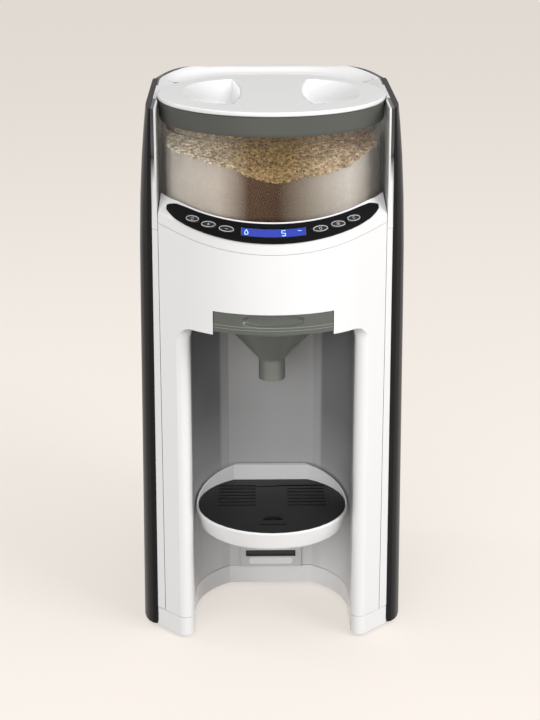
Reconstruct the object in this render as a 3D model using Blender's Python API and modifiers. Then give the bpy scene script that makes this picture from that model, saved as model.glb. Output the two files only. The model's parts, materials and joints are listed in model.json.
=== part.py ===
"""Baby formula maker: a countertop machine that doses powder and warm water into a bottle.

Metres, +Z up, front towards -Y. The origin is on the table, under the middle of the outline.
"""

import math

import bmesh
import bpy
from mathutils import Matrix, Vector

# Clearances
GAP = 0.0003
SLIDE_GAP = 0.0005
OVERRUN = 0.02
WELD_SHARE = 0.03
SHORT_SHARE = 0.25

# Feet and base plate
FOOT_HEIGHT = 0.002
FOOT_RADIUS = 0.007
FOOT_RECESS = 0.001
FOOT_INSET = 0.009
BASE_HEIGHT = 0.014

# Front outline, an arc with straight flanks
FRONT_MARGIN = 0.0012
FRONT_CENTRE_Y = -0.0385
FLANK_ANGLE = math.radians(45)

# Overall reach and the black casing
REAR_Y = 0.1199
CASING_HALF_WIDTH = 0.095
CASING_LEAN = 0.0035
CASING_CROWN = 0.0055
CASING_CROWN_HEIGHT = 0.141
CASING_WALL = 0.0025
CASING_CAP = 0.004
CROWN_SHARES = (0.0, 0.3, 0.55, 0.75, 0.9)
NOSE_LENGTH = 0.0234
REAR_FLAT_HALF_WIDTH = 0.033
CORNER_LENGTH = 0.075

# White housing and front cover
CASING_BAND = 0.011
HOUSING_LEAN = 0.002
HOUSING_REAR_WALL = 0.0025
POCKET_REAR_WALL = 0.0017
COVER_BAND = 0.006
COVER_WALL = 0.0026
COLUMN_DEPTH = 0.0114
REAR_WINDOW_MARGIN = 0.012
REAR_WINDOW_HEIGHT = 0.13

# Bottle bay and its liner
BAY_HEIGHT = 0.222
COLUMN_WIDTH = 0.021
BAY_CENTRE_Y = -0.046
BAY_BACK_SHARE = 0.8334
BAY_FILLET = 0.006
FILLET_TRIM = math.radians(7)
BAY_ARCH_ROUND = 0.010
LINER_WALL = 0.002

# Tray rail on the back wall of the bay
RAIL_WIDTH_SHARE = 0.8246
RAIL_THICKNESS = 0.002
RAIL_HEIGHT = 0.072
RAIL_SLOT_MARGIN = 0.009
RAIL_SLOT_HEIGHT = 0.005
RAIL_SLOT_FIRST = 0.0085
RAIL_SLOT_PITCH = 0.025
RAIL_SLOT_COUNT = 3

# Drip tray and grille
TRAY_MARGIN = 0.0015
TRAY_CENTRE_Y = -0.0505
TRAY_TOP = 0.090
TRAY_HEIGHT = 0.014
TRAY_WALL = 0.0016
TRAY_FLOOR = 0.002
TRAY_EDGE_ROUND = 0.002
TRAY_TAPER = 0.0025
TRAY_LEDGE = 0.0016
TRAY_CHEEK = 0.0025
TRAY_HOOK_DROP = 0.014
TRAY_BACK_RISE = 0.0125
GRILLE_THICKNESS = 0.0028
GRILLE_SLOT_SHARE = 0.47
GRILLE_SLOT_WIDTH = 0.0022
GRILLE_PITCH_SHARE = 0.1117
GRILLE_SLOT_ROWS = 7
GRILLE_OFFSET_SHARE = 0.4595
GRILLE_BACK_SHARE = 0.60
GRILLE_TAB_RADIUS = 0.0075
GRILLE_TAB_SHARE = 0.5676
GRILLE_TAB_SLOT = 0.018

# Funnel and its cover
FUNNEL_MARGIN = 0.0167
FUNNEL_BAND = 0.014
FUNNEL_CENTRE_Y = -0.050
FUNNEL_WALL = 0.0022
FUNNEL_RIM_WALL = 0.0012
FUNNEL_BASIN_WIDTH = 0.0098
FUNNEL_CONE_HEIGHT = 0.046
SPOUT_RADIUS = 0.010
SPOUT_LENGTH = 0.015
SPOUT_FLARE_SHARE = 1.15
FUNNEL_COVER_THICKNESS = 0.0018
FUNNEL_COVER_DROP = 0.001
FUNNEL_MOUTH_SHARE = 0.4218

# Hopper pocket and deck
MECHANISM_HEIGHT = 0.059
DECK_FLOOR = 0.003
HOPPER_CENTRE_Y = -0.0275
HOPPER_STEP = 0.0032
HOPPER_WALL = 0.0024
HOPPER_FLOOR = 0.0025
HOPPER_HEIGHT = 0.0695
HOPPER_FOOT_HEIGHT = 0.0105
POCKET_WALL = 0.0042
DISH_DEPTH = 0.004
DISH_RIM = 0.0085

# Lid ring, seal and lid
RING_HEIGHT = 0.0125
RING_LIP_HEIGHT = 0.0008
RING_LIP_WIDTH = 0.0008
RING_SETBACK = 0.0013
RING_WIDTH = 0.0072
RING_SKIRT_DEPTH = 0.006
SEAL_HEIGHT = 0.002
SEAL_BULGE = 0.0004
LID_DISC_HEIGHT = 0.003
LID_EDGE_ROUND = 0.0012
EDGE_MIDDLE_SHARE = 0.3
LID_PLUG_DEPTH = 0.0122
LEAF_OFFSET_SHARE = 0.2694
LEAF_LENGTH_SHARE = 0.6266
LEAF_INNER_SHARE = 0.3571
LEAF_BOW = 0.0065
LEAF_TIP_SHARE = 0.7832
LEAF_DEPTH = 0.0125
LEAF_SIDE_POWER = 1.15
LEAF_FALL_POWER = 0.8

# Control collar, overlay, display and buttons
SEAM_RISE = 0.0115
SEAM_SPAN_SHARE = 1.05
CONSOLE_RISE = 0.0103
CONSOLE_STRIP = 0.0067
CONSOLE_MARGIN = 0.006
CONSOLE_EDGE_RISE = 0.0022
CONSOLE_SIDE_RISE = 0.0072
CONSOLE_SIDE_SHARE = 0.89
CONSOLE_SIDE_POWER = 2.2
CONSOLE_TURN_SHARE = 1.15
COLLAR_INNER_SHARE = 0.985
OVERLAY_THICKNESS = 0.001
OVERLAY_GAP = 0.0006
OVERLAY_LOW_SHARE = 0.03
OVERLAY_HIGH_SHARE = 0.88
OVERLAY_TAPER_LOW_SHARE = 0.30
OVERLAY_TAPER_HIGH_SHARE = 0.35
OVERLAY_TAPER_POWER = 16
OVERLAY_TIP_SHARES = (0.93, 0.975)
DISPLAY_WIDTH_SHARE = 0.2944
DISPLAY_HALF_SHARE = 0.175
DISPLAY_MIDDLE_SHARE = 0.485
BUTTON_LENGTH_SHARE = 0.0861
BUTTON_HEIGHT_SHARE = 0.0403
BUTTON_PROUD = 0.0007
BUTTON_DEPTH = 0.0026
BUTTON_TRAVEL = 0.0008
BUTTON_MIDDLE_SHARE = 0.45
BUTTON_SHARES = (0.4278, 0.5931, 0.7417)

# Dosing wheel, stirrer and drive
OUTLET_REACH_SHARE = 0.625
OUTLET_RADIUS_SHARE = 0.1385
CHUTE_WALL = 0.002
CHUTE_FLANGE = 0.004
CHUTE_FLANGE_HEIGHT = 0.002
CHUTE_END_GAP = 0.003
WHEEL_MARGIN = 0.0246
WHEEL_HEIGHT = 0.006
WHEEL_POCKETS = 10
STIRRER_HUB_RADIUS = 0.010
STIRRER_TOP_SHARE = 0.6
STIRRER_HUB_HEIGHT = 0.016
STIRRER_MARGIN = 0.0086
STIRRER_ARM_WIDTH = 0.008
STIRRER_ARM_HEIGHT = 0.003
STIRRER_FINGER_RADIUS = 0.003
STIRRER_FINGER_HEIGHT = 0.022
STIRRER_FINGER_FIRST_SHARE = 1.2
STIRRER_FINGER_STEP_SHARE = 3.0
STIRRER_ARMS = 3
DOG_RADIUS = 0.0052
DOG_HEIGHT = 0.0062
DOG_SIDES = 6
SHAFT_RADIUS = 0.0035
SEAL_SEAT_RADIUS = 0.0085
GEAR_MODULE_SHARE = 0.030769
GEAR_TEETH = 24
PINION_TEETH = 9
GEAR_HEIGHT = 0.006
GEAR_DROP = 0.009
GEAR_HUB_RADIUS = 0.008
GEAR_HUB_HEIGHT = 0.003
TOOTH_BACKLASH_SHARE = 0.06
TOOTH_TIP_SHARE = 0.9
TOOTH_ROOT_SHARE = 1.2
TOOTH_TIP_HALF_SHARE = 0.12
TOOTH_ROOT_HALF_SHARE = 0.36
PINION_SHAFT_RADIUS = 0.002
CARRIER_THICKNESS = 0.003
CARRIER_HALF_WIDTH = 0.040
CARRIER_MARGIN = 0.006
POST_RADIUS = 0.0035
MOTOR_RADIUS = 0.0155
MOTOR_CLEARANCE = 0.0015
MOTOR_EDGE = 0.0015

# Water circuit
TANK_FLOOR_Z = 0.176
TANK_WALL = 0.0028
TANK_FLOOR = 0.003
SHELF_THICKNESS = 0.003
TANK_TOP_DROP = 0.0036
TANK_LID_PLUG = 0.0042
LID_NOTCH_RADIUS = 0.011
VALVE_RADIUS = 0.0075
VALVE_FLANGE = 0.004
VALVE_FLANGE_HEIGHT = 0.003
VALVE_DROP = 0.0095
SEAT_WALL = 0.005
SEAT_DROP = 0.006
TANK_CENTRE_SETBACK = 0.031
HINGE_PIN_RADIUS = 0.001
HINGE_HALF_LENGTH = 0.032
HINGE_EAR = 0.004
HINGE_BOSS = 0.0021
HINGE_SETBACK = 0.0046
HEATER_RADIUS = 0.019
HEATER_HEIGHT = 0.13
HEATER_CAP = 0.004
HEATER_MARGIN = 0.036
PUMP_RADIUS = 0.016
PUMP_HEIGHT = 0.040
PUMP_HEAD = 0.014
PUMP_HEAD_HALF_WIDTH = 0.019
HOSE_RADIUS = 0.003
HOSE_HEAD_HEIGHT = 0.007
NOZZLE_RADIUS = 0.004
NOZZLE_BORE = 0.002
NOZZLE_X = -0.0135
NOZZLE_SETBACK = 0.014

# Boards and power inlet
BOARD_THICKNESS = 0.0016
MAIN_BOARD_MARGIN = 0.023
MAIN_BOARD_BOTTOM = 0.180
MAIN_BOARD_HEIGHT = 0.095
RELAY_SIZE = (0.018, 0.012, 0.015)
CAPACITOR_RADIUS = 0.006
CAPACITOR_HEIGHT = 0.014
CAPACITOR_SHARES = (0.3, 0.6, 0.85)
DISPLAY_BOARD_HALF_WIDTH = 0.036
DISPLAY_BOARD_DEPTH = 0.022
INLET_HALF_WIDTH = 0.0135
INLET_HALF_HEIGHT = 0.010
INLET_Z = 0.040
INLET_DEPTH = 0.018
INLET_SOCKET_INSET = 0.0022
INLET_SOCKET_DEPTH = 0.012
INLET_PIN_HALF = 0.001
INLET_PIN_PITCH = 0.007
INLET_PIN_LENGTH = 0.008

# Facet counts
FRONT_STEPS = 16
CORNER_STEPS = 8
NOSE_STEPS = 5
BAY_STEPS = 9
FILLET_STEPS = 5
ROUND_STEPS = 40
SMALL_STEPS = 16
TINY_STEPS = 10
COLLAR_STEPS = 24

# Heights stacked from the table
HOUSING_HALF_WIDTH = CASING_HALF_WIDTH - CASING_BAND
COVER_HALF_WIDTH = HOUSING_HALF_WIDTH - COVER_BAND
CORNER_WIDTH = CASING_HALF_WIDTH - REAR_FLAT_HALF_WIDTH
POCKET_RADIUS = HOUSING_HALF_WIDTH - POCKET_WALL
HOPPER_RADIUS = POCKET_RADIUS - HOPPER_STEP
HOUSING_REAR_Y = HOPPER_CENTRE_Y + POCKET_RADIUS + POCKET_REAR_WALL
FRONT_RADIUS = POCKET_RADIUS + FRONT_MARGIN
BAY_HALF_WIDTH = COVER_HALF_WIDTH - COLUMN_WIDTH
BAY_BACK_Y = BAY_CENTRE_Y + BAY_HALF_WIDTH * BAY_BACK_SHARE
CIRCUIT_Y = (BAY_BACK_Y + HOUSING_REAR_Y) / 2
RAIL_WIDTH = BAY_HALF_WIDTH * RAIL_WIDTH_SHARE
RAIL_SLOT_WIDTH = RAIL_WIDTH - RAIL_SLOT_MARGIN
TRAY_RADIUS = BAY_HALF_WIDTH - TRAY_MARGIN
GRILLE_SLOT_LENGTH = TRAY_RADIUS * GRILLE_SLOT_SHARE
GRILLE_SLOT_PITCH = TRAY_RADIUS * GRILLE_PITCH_SHARE
GRILLE_SLOT_OFFSET = TRAY_RADIUS * GRILLE_OFFSET_SHARE
GRILLE_SLOT_BACK_Y = TRAY_CENTRE_Y + TRAY_RADIUS * GRILLE_BACK_SHARE
GRILLE_TAB_Y = TRAY_CENTRE_Y - TRAY_RADIUS * GRILLE_TAB_SHARE
FUNNEL_HALF_WIDTH = BAY_HALF_WIDTH - FUNNEL_MARGIN
FUNNEL_CONE_RADIUS = FUNNEL_HALF_WIDTH - FUNNEL_BASIN_WIDTH
FUNNEL_MOUTH_RADIUS = FUNNEL_HALF_WIDTH * FUNNEL_MOUTH_SHARE
LEAF_OFFSET_Y = POCKET_RADIUS * LEAF_OFFSET_SHARE
LEAF_HALF_LENGTH = POCKET_RADIUS * LEAF_LENGTH_SHARE
LEAF_INNER_X = POCKET_RADIUS * LEAF_INNER_SHARE
LEAF_TIP_X = POCKET_RADIUS * LEAF_TIP_SHARE
CONSOLE_REACH = COVER_HALF_WIDTH - CONSOLE_MARGIN
DISPLAY_HALF_WIDTH = CONSOLE_REACH * DISPLAY_WIDTH_SHARE
BUTTON_HALF_LENGTH = CONSOLE_REACH * BUTTON_LENGTH_SHARE
BUTTON_HALF_HEIGHT = CONSOLE_REACH * BUTTON_HEIGHT_SHARE
WHEEL_RADIUS = HOPPER_RADIUS - WHEEL_MARGIN
GEAR_MODULE = WHEEL_RADIUS * GEAR_MODULE_SHARE
OUTLET_REACH = WHEEL_RADIUS * OUTLET_REACH_SHARE
OUTLET_RADIUS = WHEEL_RADIUS * OUTLET_RADIUS_SHARE
STIRRER_REACH = HOPPER_RADIUS - STIRRER_MARGIN
REAR_WINDOW_HALF_WIDTH = COVER_HALF_WIDTH - REAR_WINDOW_MARGIN
MAIN_BOARD_HALF_WIDTH = COVER_HALF_WIDTH - MAIN_BOARD_MARGIN
HEATER_X = HEATER_MARGIN - COVER_HALF_WIDTH
PUMP_X = -HEATER_X
BASE_TOP = FOOT_HEIGHT + BASE_HEIGHT
BAY_TOP = BASE_TOP + BAY_HEIGHT
FUNNEL_SHELF = BAY_TOP + LINER_WALL
FUNNEL_TOP = FUNNEL_SHELF + GAP + FUNNEL_BAND
DECK_BOTTOM = FUNNEL_SHELF + MECHANISM_HEIGHT
DECK_TOP = DECK_BOTTOM + DECK_FLOOR
HOPPER_BOTTOM = DECK_TOP + SLIDE_GAP
HOPPER_TOP = HOPPER_BOTTOM + HOPPER_HEIGHT
RING_TOP = HOPPER_TOP + GAP + RING_HEIGHT
LID_BOTTOM = RING_TOP + GAP
LID_TOP = LID_BOTTOM + LID_DISC_HEIGHT
BODY_TOP = RING_TOP
CONSOLE_TOP = HOPPER_BOTTOM + HOPPER_FOOT_HEIGHT + CONSOLE_EDGE_RISE
CONSOLE_LOW = CONSOLE_TOP - CONSOLE_EDGE_RISE - CONSOLE_RISE
SEAM_Z = CONSOLE_LOW - CONSOLE_STRIP
GEAR_TOP = DECK_BOTTOM - GEAR_DROP
CARRIER_TOP = GEAR_TOP - GEAR_HEIGHT - GEAR_HUB_HEIGHT
CARRIER_BOTTOM = CARRIER_TOP - CARRIER_THICKNESS
MOTOR_TOP = CARRIER_BOTTOM - GAP
PINION_Y = HOPPER_CENTRE_Y + GEAR_MODULE * (GEAR_TEETH + PINION_TEETH) / 2
OUTLET_Y = HOPPER_CENTRE_Y - OUTLET_REACH
NOZZLE_Y = OUTLET_Y + NOZZLE_SETBACK
HOUSING_INNER = COVER_HALF_WIDTH + GAP
TANK_FRONT_Y = HOUSING_REAR_Y + SLIDE_GAP
TANK_BOTTOM = TANK_FLOOR_Z + GAP
TANK_TOP = BODY_TOP - TANK_TOP_DROP
TANK_CENTRE_Y = REAR_Y - TANK_CENTRE_SETBACK
RAIL_FRONT_Y = BAY_BACK_Y - GAP - RAIL_THICKNESS
TRAY_BACK_Y = RAIL_FRONT_Y - SLIDE_GAP


def clear_scene():
    """Remove what the file opened with."""
    for item in list(bpy.data.objects):
        bpy.data.objects.remove(item, do_unlink=True)


clear_scene()
MAKER = bpy.data.collections.new("formula_maker")
CUTTERS = bpy.data.collections.new("cutters")
bpy.context.scene.collection.children.link(MAKER)
bpy.context.scene.collection.children.link(CUTTERS)


# Materials
def material(name, colour, roughness, metallic=0.0, transmission=0.0):
    """Make one Principled finish."""
    finish = bpy.data.materials.new(name)
    finish.use_nodes = True
    shader = finish.node_tree.nodes["Principled BSDF"]
    shader.inputs["Base Color"].default_value = (*colour, 1.0)
    shader.inputs["Roughness"].default_value = roughness
    shader.inputs["Metallic"].default_value = metallic
    shader.inputs["Transmission Weight"].default_value = transmission
    return finish


WHITE = material("white_plastic", (0.86, 0.86, 0.86), 0.25)
BLACK = material("black_gloss", (0.03, 0.03, 0.032), 0.15)
GREY = material("ring_grey", (0.10, 0.105, 0.10), 0.35)
LINER = material("liner_grey", (0.45, 0.45, 0.46), 0.4)
CLEAR = material("clear_plastic", (0.9, 0.9, 0.9), 0.05, transmission=0.9)
SMOKE = material("smoke_plastic", (0.13, 0.14, 0.14), 0.1, transmission=0.5)
TRAY_BLACK = material("grille_black", (0.015, 0.015, 0.016), 0.4)
DISPLAY_BLUE = material("display_blue", (0.03, 0.05, 0.45), 0.2)
BUTTON_GREY = material("button_black", (0.03, 0.03, 0.033), 0.3)
RUBBER = material("rubber", (0.03, 0.03, 0.03), 0.8)
STEEL = material("steel", (0.6, 0.6, 0.6), 0.3, metallic=1.0)
BOARD = material("board_green", (0.02, 0.15, 0.06), 0.5)
NYLON = material("nylon", (0.8, 0.79, 0.74), 0.45)
SILICONE = material("silicone", (0.75, 0.74, 0.72), 0.5)


# Object makers
def as_part(obj, name, finish):
    """Name a sub-part, give it its finish and file it in the collection."""
    obj.name = name
    obj.data.name = name
    obj.data.materials.clear()
    obj.data.materials.append(finish)
    for group in list(obj.users_collection):
        group.objects.unlink(obj)
    MAKER.objects.link(obj)
    obj.data.shade_smooth()
    obj.data.set_sharp_from_angle(angle=math.radians(30))
    return obj


def as_object(mesh, name="form"):
    """Put a mesh in a new object among the guides, where it stays until it is named as a part."""
    obj = bpy.data.objects.new(name, mesh)
    CUTTERS.objects.link(obj)
    obj.hide_render = True
    obj.display_type = "WIRE"
    return obj


def twin(obj):
    """A second object with the same form and the same cutters."""
    other = obj.copy()
    other.data = obj.data.copy()
    CUTTERS.objects.link(other)
    return other


def show(obj):
    """Turn a guide into a visible part."""
    obj.hide_render = False
    obj.display_type = "TEXTURED"
    return obj


def finish_part(obj, name, finish, pivot=None):
    """Show and name a part in one step; a moving part gets its origin on its axis."""
    if pivot is not None:
        obj.data.transform(Matrix.Translation([-value for value in pivot]))
        obj.location = pivot
    return as_part(show(obj), name, finish)


def from_bmesh(bm, name="form"):
    """Turn a bmesh into an object with outward faces."""
    bmesh.ops.recalc_face_normals(bm, faces=bm.faces)
    mesh = bpy.data.meshes.new(name)
    bm.to_mesh(mesh)
    bm.free()
    return as_object(mesh, name)


def box(low, high):
    """A box between two corners."""
    bm = bmesh.new()
    bmesh.ops.create_cube(bm, size=1.0)
    size = Vector(high) - Vector(low)
    middle = (Vector(high) + Vector(low)) / 2
    bmesh.ops.scale(bm, vec=size, verts=bm.verts)
    bmesh.ops.translate(bm, vec=middle, verts=bm.verts)
    return from_bmesh(bm)


def cylinder(radius, centre, low, high, steps=SMALL_STEPS, axis="Z", top_radius=None):
    """A cylinder or cone along an axis; centre holds the two other coordinates."""
    bm = bmesh.new()
    upper = radius if top_radius is None else top_radius
    bmesh.ops.create_cone(bm, cap_ends=True, segments=steps, radius1=radius, radius2=upper,
                          depth=high - low)
    turn = {"Z": Matrix.Identity(4), "X": Matrix.Rotation(math.pi / 2, 4, "Y"),
            "Y": Matrix.Rotation(-math.pi / 2, 4, "X")}[axis]
    middle = (low + high) / 2
    place = {"Z": (centre[0], centre[1], middle), "X": (middle, centre[0], centre[1]),
             "Y": (centre[0], middle, centre[1])}[axis]
    bmesh.ops.transform(bm, matrix=Matrix.Translation(place) @ turn, verts=bm.verts)
    return from_bmesh(bm)


PLANES = {
    "XY": Matrix.Identity(4),
    "XZ": Matrix(((1, 0, 0, 0), (0, 0, -1, 0), (0, 1, 0, 0), (0, 0, 0, 1))),
    "YZ": Matrix(((0, 0, 1, 0), (1, 0, 0, 0), (0, 1, 0, 0), (0, 0, 0, 1))),
}


def extruded(loops, low, high, plane="XY"):
    """Fill flat outlines as a 2D curve and give them thickness across the plane."""
    curve = bpy.data.curves.new("outline", "CURVE")
    curve.dimensions = "2D"
    curve.fill_mode = "BOTH"
    curve.extrude = (high - low) / 2
    for loop in loops:
        spline = curve.splines.new("POLY")
        spline.points.add(len(loop) - 1)
        for point, (u, v) in zip(spline.points, loop):
            point.co = (u, v, 0.0, 1.0)
        spline.use_cyclic_u = True
    guide = bpy.data.objects.new("outline", curve)
    CUTTERS.objects.link(guide)
    bpy.context.view_layer.update()
    mesh = bpy.data.meshes.new_from_object(guide.evaluated_get(bpy.context.evaluated_depsgraph_get()))
    bpy.data.objects.remove(guide, do_unlink=True)
    bm = bmesh.new()
    bm.from_mesh(mesh)
    bmesh.ops.remove_doubles(bm, verts=bm.verts, dist=GAP * WELD_SHARE)
    shift = (high + low) / 2
    if plane == "XZ":
        shift = -shift
    bmesh.ops.translate(bm, vec=(0, 0, shift), verts=bm.verts)
    bmesh.ops.transform(bm, matrix=PLANES[plane], verts=bm.verts)
    return from_bmesh(bm)


def lofted(rings):
    """Skin a row of closed rings and cap both ends."""
    bm = bmesh.new()
    rows = [[bm.verts.new(point) for point in ring] for ring in rings]
    for lower, upper in zip(rows, rows[1:]):
        for i in range(len(lower)):
            j = (i + 1) % len(lower)
            bm.faces.new((lower[i], lower[j], upper[j], upper[i]))
    bm.faces.new(list(reversed(rows[0])))
    bm.faces.new(rows[-1])
    bmesh.ops.triangulate(bm, faces=bm.faces, ngon_method="EAR_CLIP")
    return from_bmesh(bm)


def turned(profile, centre, steps=ROUND_STEPS, closed=False):
    """Turn a profile of (radius, height) points round an upright axis with a Screw modifier."""
    mesh = bpy.data.meshes.new("profile")
    points = [(r, 0.0, z) for r, z in profile]
    edges = [(i, i + 1) for i in range(len(points) - 1)]
    if closed:
        edges.append((len(points) - 1, 0))
    mesh.from_pydata(points, edges, [])
    obj = as_object(mesh, "turned")
    screw = obj.modifiers.new("turn", "SCREW")
    screw.steps = steps
    screw.render_steps = steps
    screw.use_merge_vertices = True
    screw.merge_threshold = GAP * WELD_SHARE
    screw.use_normal_calculate = False
    bpy.context.view_layer.update()
    solid = bpy.data.meshes.new_from_object(obj.evaluated_get(bpy.context.evaluated_depsgraph_get()))
    bpy.data.objects.remove(obj, do_unlink=True)
    bm = bmesh.new()
    bm.from_mesh(solid)
    bmesh.ops.remove_doubles(bm, verts=bm.verts, dist=GAP * WELD_SHARE)
    bmesh.ops.translate(bm, vec=(centre[0], centre[1], 0), verts=bm.verts)
    return from_bmesh(bm)


def tube(points, radius, steps=2):
    """A round tube along smooth points, as a mesh with closed ends."""
    curve = bpy.data.curves.new("tube", "CURVE")
    curve.dimensions = "3D"
    curve.bevel_depth = radius
    curve.bevel_resolution = steps
    curve.use_fill_caps = True
    spline = curve.splines.new("POLY")
    spline.points.add(len(points) - 1)
    for point, place in zip(spline.points, points):
        point.co = (*place, 1.0)
    guide = bpy.data.objects.new("tube", curve)
    CUTTERS.objects.link(guide)
    bpy.context.view_layer.update()
    mesh = bpy.data.meshes.new_from_object(guide.evaluated_get(bpy.context.evaluated_depsgraph_get()))
    bpy.data.objects.remove(guide, do_unlink=True)
    bm = bmesh.new()
    bm.from_mesh(mesh)
    bmesh.ops.remove_doubles(bm, verts=bm.verts, dist=GAP * WELD_SHARE)
    return from_bmesh(bm)


def boolean(target, tool, operation):
    """Add one exact Boolean to a part; the tool stays hidden among the cutters."""
    step = target.modifiers.new(operation.lower(), "BOOLEAN")
    step.operation = operation
    step.solver = "EXACT"
    step.object = tool
    return target


def cut(target, *tools):
    """Take tools away from a part."""
    for tool in tools:
        boolean(target, tool, "DIFFERENCE")
    return target


def join(target, *tools):
    """Melt tools into a part."""
    for tool in tools:
        boolean(target, tool, "UNION")
    return target


def keep(target, tool):
    """Keep only what lies inside the tool."""
    return boolean(target, tool, "INTERSECT")


# Outlines
def arc(centre, radii, start, stop, steps):
    """Points along an elliptic arc; angles in radians."""
    turn = [start + (stop - start) * i / steps for i in range(steps + 1)]
    return [(centre[0] + radii[0] * math.cos(a), centre[1] + radii[1] * math.sin(a)) for a in turn]


def mirrored(points):
    """The same points on the other side, in reverse order."""
    return [(-x, y) for x, y in reversed(points)]


def front_y(x, inset=0.0):
    """Depth of the front outline at a width."""
    radius = FRONT_RADIUS - inset
    bend = radius * math.sin(FLANK_ANGLE)
    if abs(x) <= bend:
        return FRONT_CENTRE_Y - math.sqrt(radius * radius - x * x)
    return FRONT_CENTRE_Y - radius * math.cos(FLANK_ANGLE) + (abs(x) - bend) * math.tan(FLANK_ANGLE)


def front_run(inset, half_width, steps=FRONT_STEPS):
    """Points of the front outline from left to right."""
    radius = FRONT_RADIUS - inset
    bend = math.asin(min(1.0, half_width / radius))
    reach = min(FLANK_ANGLE, bend)
    angles = [-reach + 2 * reach * i / steps for i in range(steps + 1)]
    middle = [(radius * math.sin(a), FRONT_CENTRE_Y - radius * math.cos(a)) for a in angles]
    if bend <= FLANK_ANGLE:
        return middle
    end = (half_width, front_y(half_width, inset))
    return [(-end[0], end[1])] + middle + [end]


def casing_half_width(z):
    """Outer half width of the black casing, leaning in and crowned at the top."""
    width = CASING_HALF_WIDTH - CASING_LEAN * z / BODY_TOP
    start = BODY_TOP - CASING_CROWN_HEIGHT
    if z > start:
        width -= CASING_CROWN * ((z - start) / CASING_CROWN_HEIGHT) ** 3
    return width


def housing_half_width(z):
    """Outer half width of the white housing."""
    return HOUSING_HALF_WIDTH - HOUSING_LEAN * z / BODY_TOP


def rear_half(z, inset, from_y):
    """Right half of the rear outline, from a depth round the corner to the middle."""
    width = casing_half_width(z)
    centre = (width - CORNER_WIDTH, REAR_Y - CORNER_LENGTH)
    radii = (CORNER_WIDTH - inset, CORNER_LENGTH - inset)
    start = math.asin(max(0.0, min(1.0, (from_y - centre[1]) / radii[1])))
    return arc(centre, radii, start, math.pi / 2, CORNER_STEPS)


def rear_outline(z, inset, front):
    """Closed outline of a rear piece: a straight front and the two round corners."""
    right = rear_half(z, inset, front)
    return right + mirrored(right)


def nose_half(z, inset):
    """Right-hand nose of the casing, from its tip on the housing to the widest place."""
    tip = housing_half_width(z) + GAP
    reach = casing_half_width(z) - tip
    back = front_y(tip) + NOSE_LENGTH
    turn = [math.pi / 2 * i / NOSE_STEPS for i in range(NOSE_STEPS + 1)]
    return [(tip + (reach - inset) * math.sin(a), back - (NOSE_LENGTH - inset) * math.cos(a))
            for a in turn]


def casing_side(z, inset):
    """Right-hand outline of the side casing from nose to seam, moved in by the inset."""
    width = casing_half_width(z)
    centre = (width - CORNER_WIDTH, REAR_Y - CORNER_LENGTH)
    end = math.asin((HOUSING_REAR_Y - centre[1]) / (CORNER_LENGTH - inset))
    corner = arc(centre, (CORNER_WIDTH - inset, CORNER_LENGTH - inset), 0.0, end, 2)
    return nose_half(z, inset) + corner


def bay_half(offset, front):
    """Right half of the bay outline from the middle of its back to its front fillet."""
    radius = BAY_HALF_WIDTH - offset
    back = BAY_BACK_Y - offset
    flat = math.asin(min(1.0, (back - BAY_CENTRE_Y) / radius))
    run = arc((0.0, BAY_CENTRE_Y), (radius, radius), flat, 0.0, BAY_STEPS)
    centre_x = BAY_HALF_WIDTH + BAY_FILLET
    flank = BAY_FILLET / math.cos(FLANK_ANGLE)
    centre_y = front_y(centre_x) + flank
    fillet = BAY_FILLET + offset
    run += arc((centre_x, centre_y), (fillet, fillet), math.pi,
               2 * math.pi - FLANK_ANGLE - FILLET_TRIM, FILLET_STEPS)
    out = OVERRUN
    run.append((run[-1][0] + out, run[-1][1] - out))
    run.append((run[-1][0], front))
    return run


def bay_outline(offset):
    """Closed outline of the bay; a positive offset makes it narrower."""
    right = bay_half(offset, front_y(0.0) - OVERRUN)
    return right + mirrored(right)


def at_height(points, z):
    """Lift flat points to a height."""
    return [(x, y, z) for x, y in points]


def bay_form(offset, low, top, rounding):
    """The bay as a solid, with its arched top."""
    rings = [at_height(bay_outline(offset), low)]
    for i in range(4):
        a = math.pi / 2 * i / 3
        inset = offset + rounding * (1 - math.cos(a))
        rings.append(at_height(bay_outline(inset), top - rounding * (1 - math.sin(a))))
    return lofted(rings)


# Base plate and feet
def base_plate():
    """Flat base: the footprint of front, housing and casings, hollowed in front by the bay."""
    z = BASE_TOP
    inset = CASING_WALL + GAP
    shoulder = housing_half_width(z) - GAP
    side = [p for p in nose_half(z, inset) if p[1] > front_y(shoulder) + CASING_WALL * 2]
    rear = rear_half(z, inset, REAR_Y - CORNER_LENGTH)
    step = (shoulder, side[0][1] - CASING_WALL)
    right = [step] + side + rear
    outline = front_run(0.0, shoulder) + right + mirrored(right)
    plate = extruded([outline], FOOT_HEIGHT, BASE_TOP)
    cut(plate, bay_form(0.0, -OVERRUN, BASE_TOP + OVERRUN, GAP))
    for x, y in foot_places():
        cut(plate, cylinder(FOOT_RADIUS + GAP, (x, y), -OVERRUN, FOOT_HEIGHT + FOOT_RECESS))
    return finish_part(plate, "base_plate", WHITE)


def foot_places():
    """Four foot centres: two under the columns, two at the rear corners."""
    front_x = COVER_HALF_WIDTH - FOOT_INSET
    front = (front_x, front_y(front_x) + FOOT_INSET * 2)
    rear = (front_x - FOOT_INSET, REAR_Y - FOOT_INSET * 3)
    return [(s * x, y) for x, y in (front, rear) for s in (-1, 1)]


def feet():
    """Rubber feet, each held in its recess."""
    names = ("foot_front_left", "foot_front_right", "foot_rear_left", "foot_rear_right")
    top = FOOT_HEIGHT + FOOT_RECESS - GAP
    for name, (x, y) in zip(names, foot_places()):
        finish_part(cylinder(FOOT_RADIUS, (x, y), 0.0, top), name, RUBBER)


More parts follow.
